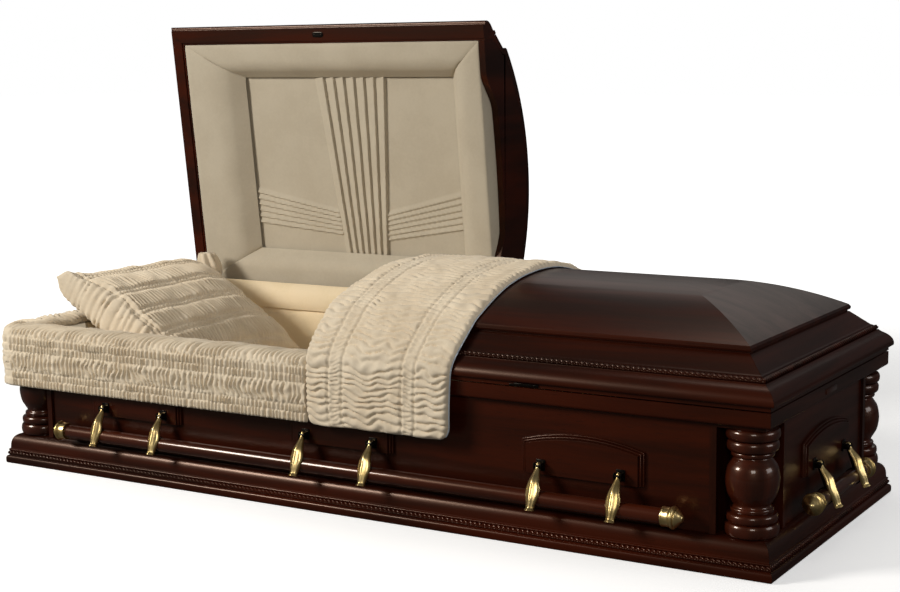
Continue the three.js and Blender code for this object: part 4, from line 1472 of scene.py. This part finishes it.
@dataclass
class LidLining:
    """The puffed border and tucked cap panel of the head lid, and the foot lid's tufted panel."""

    palette: Palette
    outer: tuple[float, float, float, float] = (-1.0124, -0.0246, -0.3474, 0.3474)
    widths: tuple[float, float, float, float] = (0.182, -0.108, 0.098, -0.098)
    depth: float = 0.041
    panel_lap: float = 0.018
    foot_tufts: int = 16

    @property
    def inner(self) -> tuple[float, ...]:
        """The border's inner rectangle."""
        return tuple(value + width for value, width in zip(self.outer, self.widths))

    def side_strip(self, side: int) -> BMesh:
        """One side of the border, puffed between its mitred seams.

        Args:
            side: 0 front, 1 foot-wards, 2 back, 3 head-wards.

        Returns:
            The closed strip.
        """
        order = [(0, 2), (1, 2), (1, 3), (0, 3)]
        (ax, ay), (bx, by) = order[side], order[(side + 1) % 4]
        start = [Vector((rect[ax], rect[ay], 0)) for rect in (self.outer, self.inner)]
        end = [Vector((rect[bx], rect[by], 0)) for rect in (self.outer, self.inner)]
        line = smooth_line([(0.0, 6.0), (0.02, 2.6), (0.10, 0.8), (0.34, 0.4), (0.52, 2.0), (0.66, 6.6), (0.77, 14.0),
                            (0.86, 24.0), (0.94, 33.5), (1.0, 40.6)], 4)
        back = [(0.97, 41.0), (0.5, 44.0), (0.0, 56.0)] if side == 1 else [(0.97, 41.0), (0.5, 34.0), (0.0, 26.0)]
        loop = [*line, *back]
        length = (end[0] - start[0]).length

        def spot(along: float, around: float) -> Vector:
            """Places a point of the strip.

            Args:
                along: Share of its length.
                around: Share of its section.

            Returns:
                The point.
            """
            k = round(around * len(loop)) % len(loop)
            share, deep = loop[k]
            seam = min(along, 1 - along) * length
            pull = 0.0026 * math.exp(-seam / 0.007) * (1 if k < len(line) else 0)
            soft = 0.0011 * wander(along * length * 7, share * 3, side * 9.0) * (1 if k < len(line) else 0)
            edge = start[0].lerp(start[1], share).lerp(end[0].lerp(end[1], share), along)
            return Vector((edge.x, edge.y, SEAM_TOP + deep * MM + pull + soft))
        return wrapped(110, len(loop), spot)

    def tuck(self, x: float, y: float) -> float:
        """How far a tuck stands out of the cap panel.

        Args:
            x: Place along the casket.
            y: Place across it.

        Returns:
            The height, in metres.
        """
        down = (y + 0.25) / 0.5
        left, right = -0.590 + 0.058 * down, -0.352 - 0.036 * down
        folds = 7
        share = (x - left) / (right - left) * folds
        if 0 < share < folds:
            within = share - math.floor(share)
            return 0.0078 * min(within / 0.85, (1 - within) / 0.08, 1.0) ** 0.9 + 0.0010
        if x <= left:
            reach = (x + 0.83) / (left + 0.83)
            low, high = 0.070 + (0.126 - 0.070) * reach, 0.176 + (0.200 - 0.176) * reach
        else:
            reach = (x - right) / (-0.13 - right)
            low, high = 0.126 + (0.060 - 0.126) * reach, 0.210 + (0.168 - 0.210) * reach
        ribs = 6
        share = (y - low) / (high - low) * ribs
        if 0 < share < ribs:
            within = share - math.floor(share)
            return 0.0052 * min(within / 0.82, (1 - within) / 0.14, 1.0) ** 0.9 + 0.0002
        return 0.0

    def cap_panel(self) -> None:
        """Makes the cloth panel with its upright tucks and two fans."""
        x0, x1, y0, y1 = self.inner
        x0, x1 = x0 - self.panel_lap, x1 + self.panel_lap
        y0, y1 = y0 - self.panel_lap, y1 + self.panel_lap
        face = SEAM_TOP + self.depth + 0.0022

        def spot(u: float, v: float) -> Vector:
            """Places a point of the cloth.

            Args:
                u: Share of its length.
                v: Share of its width.

            Returns:
                The point.
            """
            x, y = x0 + (x1 - x0) * u, y0 + (y1 - y0) * v
            soft = 0.0007 * wander(x * 6, y * 6, 4.0)
            return Vector((x, y, face + 0.0064 - self.tuck(x, y) + soft))
        bm = grid(380, 160, spot)
        back_at(bm, face + 0.0080)
        obj = piece(bm, "cap_panel_cloth", self.palette.crepe, "head_lid", ["lid_cap_panel"], OPENED, 50)

    def foot_panel(self) -> None:
        """Makes the tufted panel inside the foot lid."""
        low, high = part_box("foot_lid_lining")

        def spot(u: float, v: float) -> Vector:
            """A point of the panel's face.

            Args:
                u: Share of its length.
                v: Share of its width.

            Returns:
                The point.
            """
            x, y = low[0] + (high[0] - low[0]) * u, low[1] + (high[1] - low[1]) * v
            rib = abs(math.sin(math.pi * u * self.foot_tufts))
            return Vector((x, y, low[2] + 0.0035 - 0.0032 * rib ** 0.6 + 0.0004 * wander(x * 9, y * 9, 1.0)))
        bm = grid(192, 24, spot)
        back_at(bm, high[2])
        obj = piece(bm, "foot_lid_panel", self.palette.crepe, "foot_lid", ["foot_lid_lining"], crease=50)

    def build(self) -> None:
        """Makes the border, the cap panel and the foot lid's panel."""
        bm = bmesh.new()
        for side in range(4):
            absorb(bm, self.side_strip(side))
        border = piece(bm, "puffed_border", self.palette.crepe, "head_lid", ["lid_border"], OPENED, 60)
        self.cap_panel()
        self.foot_panel()


# The interior


@dataclass
class Interior:
    """The case's lining, the mattress and the roll of cloth along the back rim."""

    palette: Palette
    inset: float = 0.0605
    thick: float = 0.024
    diagonal: float = 0.21644
    floor: float = 0.0773
    top: float = 0.343
    cover_low: float = 0.3449
    cover_top: float = 0.3468

    def stations(self, end: int, cut: float, count: int) -> list[Station]:
        """Stations along one half of the case, which cut its corners.

        Args:
            end: -1 for the head half, 1 for the foot half.
            cut: The half's open end.
            count: Stations on each straight.

        Returns:
            The stations, from the front to the back.
        """
        def along(inset: float) -> float:
            """How far from a corner of the plan the lining leaves a wall."""
            return self.diagonal + (math.sqrt(2) - 1) * inset

        knots = [
            PLAN.front(lambda inset: cut),
            PLAN.front(lambda inset: end * (PLAN.half_length - along(inset))),
            PLAN.side(end, lambda inset: -(PLAN.half_width - along(inset))),
            PLAN.side(end, lambda inset: PLAN.half_width - along(inset)),
            PLAN.back(lambda inset: end * (PLAN.half_length - along(inset))),
            PLAN.back(lambda inset: cut),
        ]
        made: list[Station] = []
        for first, second in zip(knots, knots[1:]):
            for k in range(count):
                share = k / count
                made.append(lambda i, h, a=first, b=second, s=share: a(i, h).lerp(b(i, h), s))
        return [*made, knots[-1]]

    def lining(self, label: str, end: int, cut: float) -> None:
        """Makes one half's lining, softly pleated.

        Args:
            label: The half's name.
            end: -1 for the head half, 1 for the foot half.
            cut: The half's open end.
        """
        inner = self.inset + self.thick
        line = smooth_line([(inner - 0.001, self.floor), (inner - 0.002, 0.13), (inner - 0.001, 0.20),
                            (inner - 0.002, 0.27), (inner - 0.002, 0.315), (inner - 0.006, 0.334),
                            (inner - 0.013, self.top)], 5)
        loop = [*line, (self.inset, self.top), (self.inset, self.floor)]
        stations = self.stations(end, cut, 44)

        def spot(along: float, around: float) -> Vector:
            """Places a point of the lining.

            Args:
                along: Share of the way round the half.
                around: Share of the section.

            Returns:
                The point.
            """
            k = round(around * len(loop)) % len(loop)
            inset, height = loop[k]
            place = along * (len(stations) - 1)
            fold = 0.0
            if 0 < k < len(line):
                fold = 0.0045 * gathers(place * 0.016, height * 0.5, 0.052, 3.0 + end)
            station = stations[min(round(place), len(stations) - 1)]
            return station(inset - 0.0045 + fold if fold else inset, height)
        bm = wrapped(len(stations) - 1, len(loop), spot)
        obj = piece(bm, f"side_lining_{label}", self.palette.lining, "case", [f"lining_{label}"], crease=60)

    def corner_covers(self) -> None:
        """Makes the cloth triangles that cover the corners behind the lining."""
        bm = bmesh.new()
        for end in (-1, 1):
            for hand in (-1, 1):
                reach = self.diagonal - self.inset + (math.sqrt(2) - 1) * self.inset + 0.012
                x, y = end * (PLAN.half_length - 0.061), hand * (PLAN.half_width - 0.061)
                corners = [(x, y), (x - end * reach, y), (x, y - hand * reach)]
                verts = [bm.verts.new((a, b, self.cover_low)) for a, b in corners]
                face = bm.faces.new(verts)
                for vert in vertices_of(bmesh.ops.extrude_face_region(bm, geom=[face])["geom"]):
                    vert.co.z = self.cover_top
        piece(bm, "corner_covers", self.palette.crepe, "case")

    def mattress(self) -> None:
        """Makes the mattress, quilted in soft squares."""
        low, high = (Vector(c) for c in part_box("mattress"))
        cut = 0.171
        size = high - low

        def spot(u: float, v: float) -> Vector:
            """Places a point of the mattress's top.

            Args:
                u: Share of its length.
                v: Share of its width.

            Returns:
                The point.
            """
            x = low.x + size.x * u
            y = low.y + size.y * v
            corner = min(u, 1 - u) * size.x + min(v, 1 - v) * size.y
            if corner < cut:
                shift = (cut - corner) / 2
                x += math.copysign(shift, 0.5 - u)
                y += math.copysign(shift, 0.5 - v)
            edge = min(min(u, 1 - u) * size.x, min(v, 1 - v) * size.y, max(corner - cut, 0) * 0.7)
            roll = 0.016 * (1 - math.sqrt(min(edge / 0.03, 1)))
            quilt = 0.008 * (1 - abs(math.sin(math.pi * x / 0.115) * math.sin(math.pi * y / 0.1043)) ** 0.5)
            return Vector((x, y, high.z - roll - quilt))
        bm = grid(220, 72, spot)
        back_at(bm, low.z)
        piece(bm, "quilted_mattress", self.palette.lining, "case", ["mattress"], crease=60)

    def back_roll(self) -> None:
        """Makes the roll of cloth that bridges the back rim and the open lid's border."""
        x0, x1 = -0.985, SPLIT_HEAD - 0.022
        section = smooth_line([(84, 338), (89, 356), (87, 380), (77, 398), (64, 409), (53, 404), (47, 384), (50, 362),
                               (58, 348), (62, 346.4)], 4)

        def spot(along: float, around: float) -> Vector:
            """Places a point of the roll.

            Args:
                along: Share of its length.
                around: Share of its section.

            Returns:
                The point.
            """
            k = round(around * len(section)) % len(section)
            inset, height = section[k]
            x = x0 + (x1 - x0) * along
            end = min(along, 1 - along) * (x1 - x0)
            tuck = 1 - 0.55 * math.exp(-end / 0.018)
            soft = 0.8 * wander(x * 8, height * 0.02, 6.0)
            middle = (68.0, 372.0)
            inset = middle[0] + (inset - middle[0]) * tuck + soft
            height = middle[1] + (height - middle[1]) * tuck + soft
            return Vector((x, PLAN.half_width - inset * MM, max(height, 346.4 if inset < 61 else 338) * MM))
        bm = wrapped(130, len(section), spot)
        obj = piece(bm, "back_roll", self.palette.lining, "case", crease=60)
        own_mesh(obj)

    def rim_gather(self) -> None:
        """Makes the gathered tuft where the velvet ends beside the lid's hinge side."""
        def spot(around: float, up: float) -> Vector:
            """Places a point of the tuft.

            Args:
                around: Share of the way round.
                up: Share of its height.

            Returns:
                The point.
            """
            turn = math.tau * around
            wide = 0.010 + 0.024 * math.sin(math.pi * min(0.12 + 0.80 * up, 1.0)) ** 0.6
            fold = 1 + 0.16 * math.sin(7 * turn + 5 * up) + 0.10 * wander(around * 6, up * 4, 33.0)
            lean = 0.012 * math.sin(2.6 * up)
            return Vector((-0.962 + wide * fold * math.cos(turn) + lean,
                           0.318 + wide * fold * math.sin(turn), 0.372 + 0.112 * up))
        bm = wrapped(72, 30, spot, 1e-5)
        obj = piece(bm, "rim_gather", self.palette.velvet, "case", crease=70)
        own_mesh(obj)

    def build(self) -> None:
        """Makes the whole interior of the case."""
        self.lining("head", -1, -0.005)
        self.lining("foot", 1, -0.003)
        self.corner_covers()
        self.mattress()
        self.back_roll()
        self.rim_gather()


@dataclass
class Pillow:
    """A shirred pillow with a puckered cuff at its front end."""

    palette: Palette
    half: tuple[float, float, float] = (0.224, 0.272, 0.068)
    tilt: float = math.radians(31.0)
    centre: Vector = field(default_factory=lambda: Vector((-0.786, 0.004, 0.354)))
    rib_pitch: float = 0.0120
    rib_depth: float = 0.0115
    stitches: tuple[float, ...] = (-0.80, -0.73, -0.36, -0.29, 0.06, 0.13, 0.46, 0.53, 0.86)

    def thickness(self, u: float, v: float) -> float:
        """Finds the pillow's half thickness.

        Args:
            u: Place down the slope, -1 to 1.
            v: Place across, -1 at the front and 1 at the back.

        Returns:
            A share from 0 at the seam to 1 in the middle.
        """
        across = 1 - abs(v) ** (3.4 if v > 0 else 12.0)
        along = 1 - abs(u) ** 2.6
        return max(across, 0.0) ** (0.55 if v > 0 else 0.42) * max(along, 0.0) ** 0.6

    def surface(self, u: float, v: float, face: int) -> Vector:
        """A point of the pillow.

        Args:
            u: Place down the slope, -1 at the head end and 1 at the foot end.
            v: Place across the casket, -1 at the front and 1 at the back.
            face: 1 for the upper face, -1 for the lower one.

        Returns:
            The point, before the pillow is tilted.
        """
        lu, lv, lh = self.half
        thick = self.thickness(u, v)
        x = u * lu * (1 - 0.055 * (1 - v * v)) + 0.010 * wander(u * 1.5, v * 2.0, 8.0)
        y = v * lv * (1 - 0.060 * (1 - u * u)) + 0.008 * wander(u * 2.0, v * 1.5, 9.0)
        z = face * thick * lh * (1.0 if face > 0 else 0.9)
        if face > 0:
            cuff = eased(v, -0.93, -0.86)
            stitch = max(bump(u, s, 0.045) for s in self.stitches)
            rib = gathers(y, x * 0.7, self.rib_pitch, 2.0)
            z += cuff * eased(thick, 0.1, 0.4) * (self.rib_depth * rib * (1 - 0.6 * stitch) - 0.0020 * stitch)
            z -= 0.006 * bump(v, -0.89, 0.04) * eased(thick, 0.1, 0.4)
        ray = math.atan2(v + 1.02, u + 1.25)
        reach = (1 - eased(v, -0.96, -0.84)) * (1 - 0.5 * eased(u, 0.2, 1.0))
        crumple = 0.011 * abs(math.sin(9 * ray + 2.5 * wander(u * 3, v * 6, 12.0))) + 0.010 * wander(u * 4, v * 7, 5.0)
        z += face * reach * crumple * eased(thick, 0.02, 0.4)
        pucker = gathers(x + 0.4 * y, y * 0.5, 0.021, 5.0) - 0.5
        y -= 0.0085 * (1 - eased(v, -0.99, -0.85)) * pucker * eased(thick, 0.02, 0.5)
        z += face * 0.006 * bump(v, -0.90, 0.10) * pucker * eased(thick, 0.1, 0.5)
        knot = math.exp(-((u + 1) ** 2 + (v + 1) ** 2) / 0.020)
        x -= 0.012 * knot
        z += 0.010 * knot + face * 0.016 * knot * eased(thick, 0.0, 0.3)
        return Vector((x, y, z))

    def build(self) -> None:
        """Makes the pillow's two faces and joins them at the seam."""
        upper = grid(120, 330, lambda a, b: self.surface(2 * a - 1, 2 * b - 1, 1))
        lower = grid(120, 330, lambda a, b: self.surface(2 * a - 1, 2 * b - 1, -1))
        bmesh.ops.reverse_faces(lower, faces=lower.faces)
        absorb(upper, lower)
        bmesh.ops.remove_doubles(upper, verts=upper.verts, dist=1e-5)
        place = Matrix.Translation(self.centre) @ Matrix.Rotation(self.tilt, 4, "Y")
        obj = piece(upper, "shirred_pillow", self.palette.velvet, "case", ["pillow"], place, 70)
        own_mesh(obj)


# The velvet over the rims and the lid


@dataclass
class Extension:
    """The padded roll on the front and head rims with the gathered ruffle that hangs from it."""

    palette: Palette
    out: float = 0.013
    corner: float = 0.052
    pull: float = 0.45
    start_x: float = -0.0675
    back_y: float = 0.330
    pitch: float = 0.0148
    step: float = 0.00225
    fold_depth: float = 0.0111
    small_depth: float = 0.0098
    stitches: tuple[float, ...] = (0.345, 0.326, 0.307, 0.255, 0.237)

    def stations(self) -> tuple[list[Station], list[float]]:
        """Lays stations along the front rim, round the corner and along the head rim.

        Returns:
            The stations, and how far along the rim each lies.
        """
        def centre(inset: float) -> float:
            """The inset of the point that a section turns about at the corner."""
            return max(self.corner, inset + 0.003)

        def pulled(inset: float, share: float) -> float:
            """Draws what hangs outside the head rim closer to it."""
            return inset + self.pull * share * max(-inset, 0.0)

        made: list[Station] = []
        places: list[float] = []
        corner_x = -(PLAN.half_length - self.corner)
        corner_y = -(PLAN.half_width - self.corner)
        steps = round((self.start_x - corner_x) / self.step)
        for k in range(steps):
            share = k / steps
            made.append(lambda inset, height, s=share: Vector((
                self.start_x + (-(PLAN.half_length - centre(inset)) - self.start_x) * s,
                inset - PLAN.half_width, height)))
            places.append((self.start_x - corner_x) * share)
        for k in range(15):
            turn = math.pi / 2 * k / 14
            made.append(lambda inset, height, t=turn: Vector((
                -(PLAN.half_length - centre(inset)) - (centre(inset) - pulled(inset, math.sin(t))) * math.sin(t),
                -(PLAN.half_width - centre(inset)) - (centre(inset) - inset) * math.cos(t), height)))
            places.append(self.start_x - corner_x + (self.corner + self.out) * turn)
        reached = places[-1]
        steps = round((self.back_y - corner_y) / self.step)
        for k in range(1, steps + 1):
            share = k / steps
            made.append(lambda inset, height, s=share: Vector((
                pulled(inset, 1.0) - PLAN.half_length,
                -(PLAN.half_width - centre(inset)) + (self.back_y + PLAN.half_width - centre(inset)) * s, height)))
            places.append(reached + (self.back_y - corner_y) * share)
        return made, places

    def outline(self) -> tuple[list[Point], int]:
        """Draws the section.

        Returns:
            Its points in metres, and how many of them are in view.
        """
        roll = smooth_line([(71, 346.5), (73, 352), (69, 360), (55, 366), (34, 368.5), (13, 366), (-3, 358),
                            (-10, 345)], 5)
        front = [(-11, 343 - 2.1 * k) for k in range(60)]
        seen = [*roll, *front]
        hidden = [(-9, 214.5), (-5, 217), (-3, 270), (-1, 320), (-0.5, 342.5), (4, 345.6), (11.5, 345.6), (30, 345.6),
                  (55, 345.6)]
        return in_metres([*seen, *hidden]), len(seen)

    def lift(self, along: float, inset: float, height: float, place: float) -> float:
        """How far the gathered velvet stands out of its section.

        Args:
            along: Place along the rim.
            inset: The section point's inset.
            height: Its height.
            place: Share of the way from the roll's inner foot to the hem.

        Returns:
            The lift along the section's normal.
        """
        slant = along + 0.55 * max(inset, 0.0)
        fold = gathers(slant, place * 0.42, self.pitch, 1.0)
        band = sum(height < s for s in self.stitches)
        small = gathers(along, 0.9 * band, self.pitch * 0.78, 5.0)
        front = eased(0.352 - height, 0.0, 0.006) if inset < 0.004 else 0.0
        stitch = front * max(bump(height, s, 0.0052) for s in self.stitches)
        puff = front * bump(height, 0.281, 0.036)
        wide = min(1 - front + 1.3 * puff, 1.0)
        belly = 0.0010 * front * math.sin(math.pi * min(max((0.307 - height) / 0.052, 0.0), 1.0))
        shape = fold * wide * self.fold_depth + small * (1 - wide) * self.small_depth
        return (shape - 0.0028) * (1 - 0.27 * stitch) - 0.0005 * stitch + belly

    def build(self) -> None:
        """Makes the extension as one closed piece."""
        stations, places = self.stations()
        outline, seen = self.outline()
        count = len(outline)
        normals = []
        for k in range(count):
            (a, b), (c, d) = outline[k - 1], outline[(k + 1) % count]
            length = math.hypot(c - a, d - b) or 1.0
            normals.append(((d - b) / length, -(c - a) / length))

        def spot(along: float, around: float) -> Vector:
            """Places a point of the extension.

            Args:
                along: Share of the way along the rims.
                around: Share of the section.

            Returns:
                The point.
            """
            i = round(along * (len(stations) - 1))
            k = round(around * count) % count
            (inset, height), (ni, nh) = outline[k], normals[k]
            if k < seen:
                fade = min(k / 4, 1.0)
                lift = self.lift(places[i], inset, height, k / seen) * fade
                inset, height = inset + ni * lift, height + nh * lift
                if k > seen - 8:
                    hem = 0.0030 * math.sin(places[i] / self.pitch * math.pi * 2 + 2 * wander(places[i] * 20, 0, 2))
                    height += hem * (k - seen + 8) / 8 * 0.5
            return stations[i](inset, height)
        bm = wrapped(len(stations) - 1, count, spot)
        obj = piece(bm, "gathered_extension", self.palette.velvet, "case", ["extension"], crease=75)
        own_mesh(obj)


@dataclass
class Throw:
    """The quilted velvet throw over the foot lid."""

    palette: Palette
    left: float = -0.0665
    right: float = 0.330
    hem: float = 0.212
    clear: float = 0.0035
    thick: float = 0.0075
    pitch: float = 0.0165
    fold_depth: float = 0.0098
    small_depth: float = 0.0066
    stitches: tuple[float, ...] = (0.17, 0.27, 0.69, 0.78)
    lap: float = 1.008
    dome: Dome = field(default_factory=Dome)
    length: float = field(init=False, default=0.0)

    def path(self) -> list[Point]:
        """Draws the throw's line over the lid, from its front hem to its back edge.

        Returns:
            Evenly spaced points of (y, z).
        """
        knots = [(-0.4012, self.hem), (-0.4014, 0.25), (-0.4014, 0.30), (-0.4010, 0.345), (-0.4005, 0.366),
                 (-0.3965, 0.379), (-0.3860, 0.396), (-0.3640, 0.420), (-0.3200, 0.4600)]
        shares = [0.05, 0.12, 0.22, 0.35, 0.5, 0.7, 0.9, 1.0]
        half = PLAN.half_width - self.dome.inset
        rise = [(-half * (1 - s), self.dome.foot + self.dome.height(s) + self.clear) for s in shares]
        fall = [(-y, z) for y, z in reversed(rise[:-1])]
        line = smooth_line([*knots, *rise, *fall], 14)
        lengths = [0.0]
        for a, b in zip(line, line[1:]):
            lengths.append(lengths[-1] + math.dist(a, b))
        total, even, k = lengths[-1], [], 0
        steps = 330
        for step in range(steps + 1):
            target = total * step / steps
            while k < len(lengths) - 2 and lengths[k + 1] < target:
                k += 1
            share = (target - lengths[k]) / max(lengths[k + 1] - lengths[k], 1e-9)
            even.append((line[k][0] + (line[k + 1][0] - line[k][0]) * share,
                         line[k][1] + (line[k + 1][1] - line[k][1]) * share))
        self.length = total
        return even

    def height(self, across: float, along: float) -> float:
        """How far the quilted face stands above the throw's lining.

        Args:
            across: Share of the width.
            along: Share of the length.

        Returns:
            The height, in metres.
        """
        edge = min(across, 1 - across) * (self.right - self.left)
        end = min(along, 1 - along) * self.length
        rim = math.sqrt(min(edge / 0.012, 1.0) * (2 - min(edge / 0.012, 1.0)))
        tail = math.sqrt(min(end / 0.014, 1.0) * (2 - min(end / 0.014, 1.0)))
        stitch = max(bump(across, s, 0.014) for s in self.stitches)
        between = max(bump(across, 0.22, 0.06), bump(across, 0.735, 0.05))
        fold = gathers(along * self.length, across * 0.62, self.pitch, 11.0)
        small = gathers(along * self.length, across * 0.9, self.pitch * 0.58, 15.0)
        puff = self.fold_depth * fold * (1 - between) + self.small_depth * small * between
        return self.thick * min(rim, tail) * 0.55 + (puff * (1 - 0.5 * stitch) - 0.0016 * stitch) * min(rim, tail)

    def build(self) -> None:
        """Makes the quilted face and the satin lining under it."""
        path = self.path()
        steps = len(path) - 1
        normals = []
        for k in range(steps + 1):
            (a, b), (c, d) = path[max(k - 1, 0)], path[min(k + 1, steps)]
            length = math.hypot(c - a, d - b)
            normals.append((-(d - b) / length, (c - a) / length))
        width = self.right - self.left

        def skew(across: float, along: float) -> float:
            """How far an edge wavers along X, more at the front hem."""
            return 0.006 * wander(along * 4, across, 21.0) - 0.016 * (1 - along) * across * eased(1 - along, 0.6, 1.0)

        def face(across: float, along: float, lift: float) -> Vector:
            """Places a point of the throw.

            Args:
                across: Share of its width.
                along: Share of its length.
                lift: How far it stands off the line over the lid.

            Returns:
                The point.
            """
            k = round(along * steps)
            (y, z), (ny, nz) = path[k], normals[k]
            wave = 0.0035 * (0.5 + wander(across * 2.2, along * 7, 30.0)) * eased(0.24 - along, 0, 0.1)
            droop = 0.010 * eased(0.17 - across, 0, 0.16) * eased(along, 0.3, 0.5) * (1 - eased(along, 0.86, 0.95))
            rise = lift + wave
            near = 1 - min(along * self.length / 0.034, 1.0)
            corner = 1 - 0.024 * (1 - math.sqrt(1 - near * near)) / (width / 2)
            hem = 0.0055 * wander(across * 5, 0.0, 41.0) * eased(0.06 - along, 0.0, 0.06)
            x = self.left + width * (0.5 + (across - 0.5) * corner) + skew(across, along)
            return Vector((x, y + ny * rise, z + nz * rise - droop + hem))

        top = slab(125, steps, lambda u, v: face(u, v, 0.0022 + self.height(u, v)),
                   lambda u, v: face(u, v, 0.0016))
        lining = slab(60, steps // 3, lambda u, v: face(u * self.lap - 0.001, v, 0.0012),
                      lambda u, v: face(u * self.lap - 0.001, v, 0.0))
        velvet, satin = self.palette.velvet, self.palette.satin
        cloths = ((piece(top, "quilted_throw", velvet, "foot_lid", ["throw"], crease=75), width),
                  (piece(lining, "throw_lining", satin, "foot_lid", crease=60), width * self.lap))
        for obj, wide in cloths:
            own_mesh(obj)


# The studio


@dataclass
class Studio:
    """The camera, a pale floor and soft lamps."""

    eye: tuple[float, float, float] = (2.196, -3.447, 1.064)
    azimuth: float = math.radians(-30.94)
    down: float = math.radians(9.276)
    roll: float = math.radians(-0.756)
    lens: float = 66.6
    shift: tuple[float, float] = (-0.0217, 0.0275)
    ambient: float = 0.07

    def camera(self) -> None:
        """Makes the camera where the photograph was taken from."""
        data = bpy.data.cameras.new("camera")
        data.sensor_width = 36.0
        data.lens = self.lens
        data.shift_x, data.shift_y = self.shift
        forward = Vector((math.sin(self.azimuth) * math.cos(self.down),
                          math.cos(self.azimuth) * math.cos(self.down), -math.sin(self.down)))
        right = Vector((math.cos(self.azimuth), -math.sin(self.azimuth), 0))
        up = right.cross(forward)
        turned_right = right * math.cos(self.roll) + up * math.sin(self.roll)
        turned_up = up * math.cos(self.roll) - right * math.sin(self.roll)
        obj = bpy.data.objects.new("camera", data)
        columns = Matrix((turned_right, turned_up, -forward)).transposed().to_4x4()
        obj.matrix_world = Matrix.Translation(self.eye) @ columns
        bpy.context.scene.collection.objects.link(obj)
        bpy.context.scene.camera = obj

    def lamp(self, name: str, spot: Vector, aim: Vector, size: tuple[float, float], power: float,
             colour: tuple[float, float, float]) -> None:
        """Adds a soft rectangular lamp.

        Args:
            name: Its name.
            spot: Where it stands.
            aim: What it points at.
            size: Its width and height.
            power: Its power in watts.
            colour: Its light's colour.
        """
        data = bpy.data.lights.new(name, "AREA")
        data.shape = "RECTANGLE"
        data.size, data.size_y = size
        data.energy = power
        data.color = colour
        obj = bpy.data.objects.new(name, data)
        obj.location = spot
        obj.rotation_euler = (aim - spot).to_track_quat("-Z", "Y").to_euler()
        bpy.context.scene.collection.objects.link(obj)

    def floor(self) -> None:
        """Makes the floor, which the camera sees fade to white far away."""
        bm = bmesh.new()
        bmesh.ops.create_grid(bm, x_segments=1, y_segments=1, size=30.0)
        mesh = bpy.data.meshes.new("floor")
        bm.to_mesh(mesh)
        bm.free()
        floor = bpy.data.objects.new("floor", mesh)
        floor.location.z = -0.0005
        bpy.context.scene.collection.objects.link(floor)
        shader = Shader("pale_floor")
        path = shader.add("ShaderNodeLightPath")
        spot = shader.add("ShaderNodeTexCoord")
        reach = shader.add("ShaderNodeVectorMath", operation="LENGTH")
        shader.link(spot.outputs["Object"], reach.inputs[0])
        away = shader.add("ShaderNodeMapRange", interpolation_type="SMOOTHSTEP")
        for key, number in (("From Min", 1.3), ("From Max", 4.5), ("To Min", 0.45), ("To Max", 1.05)):
            away.inputs[key].default_value = number
        shader.link(reach.outputs["Value"], away.inputs["Value"])
        for socket, low, high in (("Base Color", 0.10, 0.90), ("Emission Strength", 0.0, 1.0)):
            seen = shader.add("ShaderNodeMapRange")
            seen.inputs["To Min"].default_value = low
            seen.inputs["To Max"].default_value = high
            shader.link(path.outputs["Is Camera Ray"], seen.inputs["Value"])
            if socket == "Emission Strength":
                shader.link(away.outputs["Result"], seen.inputs["To Max"])
            shader.link(seen.outputs["Result"], shader.surface.inputs[socket])
        shader.fix({"Emission Color": (1.0, 1.0, 1.0, 1.0), "Roughness": 0.9, "Specular IOR Level": 0.1})
        mesh.materials.append(shader.material)

    def lamps(self) -> None:
        """Places the lamps: a key from the front left and weaker ones around."""
        warm = (1.0, 0.965, 0.91)
        middle = Vector((0.0, 0.0, 0.35))
        self.lamp("key", Vector((-3.3, -3.5, 2.7)), middle, (1.5, 1.3), 225.0, warm)
        self.lamp("fill", Vector((2.6, -4.0, 2.0)), middle, (1.3, 1.2), 42.0, warm)
        self.lamp("end", Vector((4.6, 0.4, 1.5)), middle, (1.8, 1.4), 34.0, (0.98, 0.98, 1.0))
        self.lamp("back", Vector((-0.6, 4.4, 2.6)), middle, (3.2, 2.2), 9.0, (1.0, 0.96, 0.90))
        self.lamp("top", Vector((0.4, 0.8, 4.2)), middle, (2.4, 1.8), 27.0, (1.0, 0.95, 0.88))

    def sky(self) -> None:
        """Makes a sky that is white to the camera and dim to everything else."""
        world = bpy.data.worlds.new("studio")
        world.use_nodes = True
        nodes, links = world.node_tree.nodes, world.node_tree.links
        sky = nodes["Background"]
        sky.inputs["Color"].default_value = (1.0, 1.0, 1.0, 1.0)
        path = nodes.new("ShaderNodeLightPath")
        strength = nodes.new("ShaderNodeMapRange")
        strength.inputs["To Min"].default_value = self.ambient
        strength.inputs["To Max"].default_value = 1.0
        links.new(path.outputs["Is Camera Ray"], strength.inputs["Value"])
        links.new(strength.outputs["Result"], sky.inputs["Strength"])
        bpy.context.scene.world = world
        bpy.context.scene.view_settings.view_transform = "Standard"

    def build(self) -> None:
        """Makes everything around the casket."""
        self.camera()
        self.floor()
        self.lamps()
        self.sky()


def main() -> None:
    """Builds the casket, piece by piece."""
    logging.basicConfig(level=logging.INFO)
    palette = Palette()
    Studio().build()
    log.info("studio done")
    Base(palette).build()
    Case(palette).build()
    log.info("case done")
    for wall in Wall:
        ArchedPanel(palette).build(wall)
        Handle(palette).build(wall)
        log.info("wall %s done", wall.label)
    Lid(palette, "head", -1, SPLIT_HEAD, True).build()
    Lid(palette, "foot", 1, SPLIT_FOOT, False).build()
    latch = Latch(palette)
    latch.keeper()
    latch.catch()
    LidLining(palette).build()
    log.info("lids done")
    Interior(palette).build()
    Pillow(palette).build()
    Extension(palette).build()
    Throw(palette).build()
    log.info("cloth done")


if __name__ == "__main__":
    main()
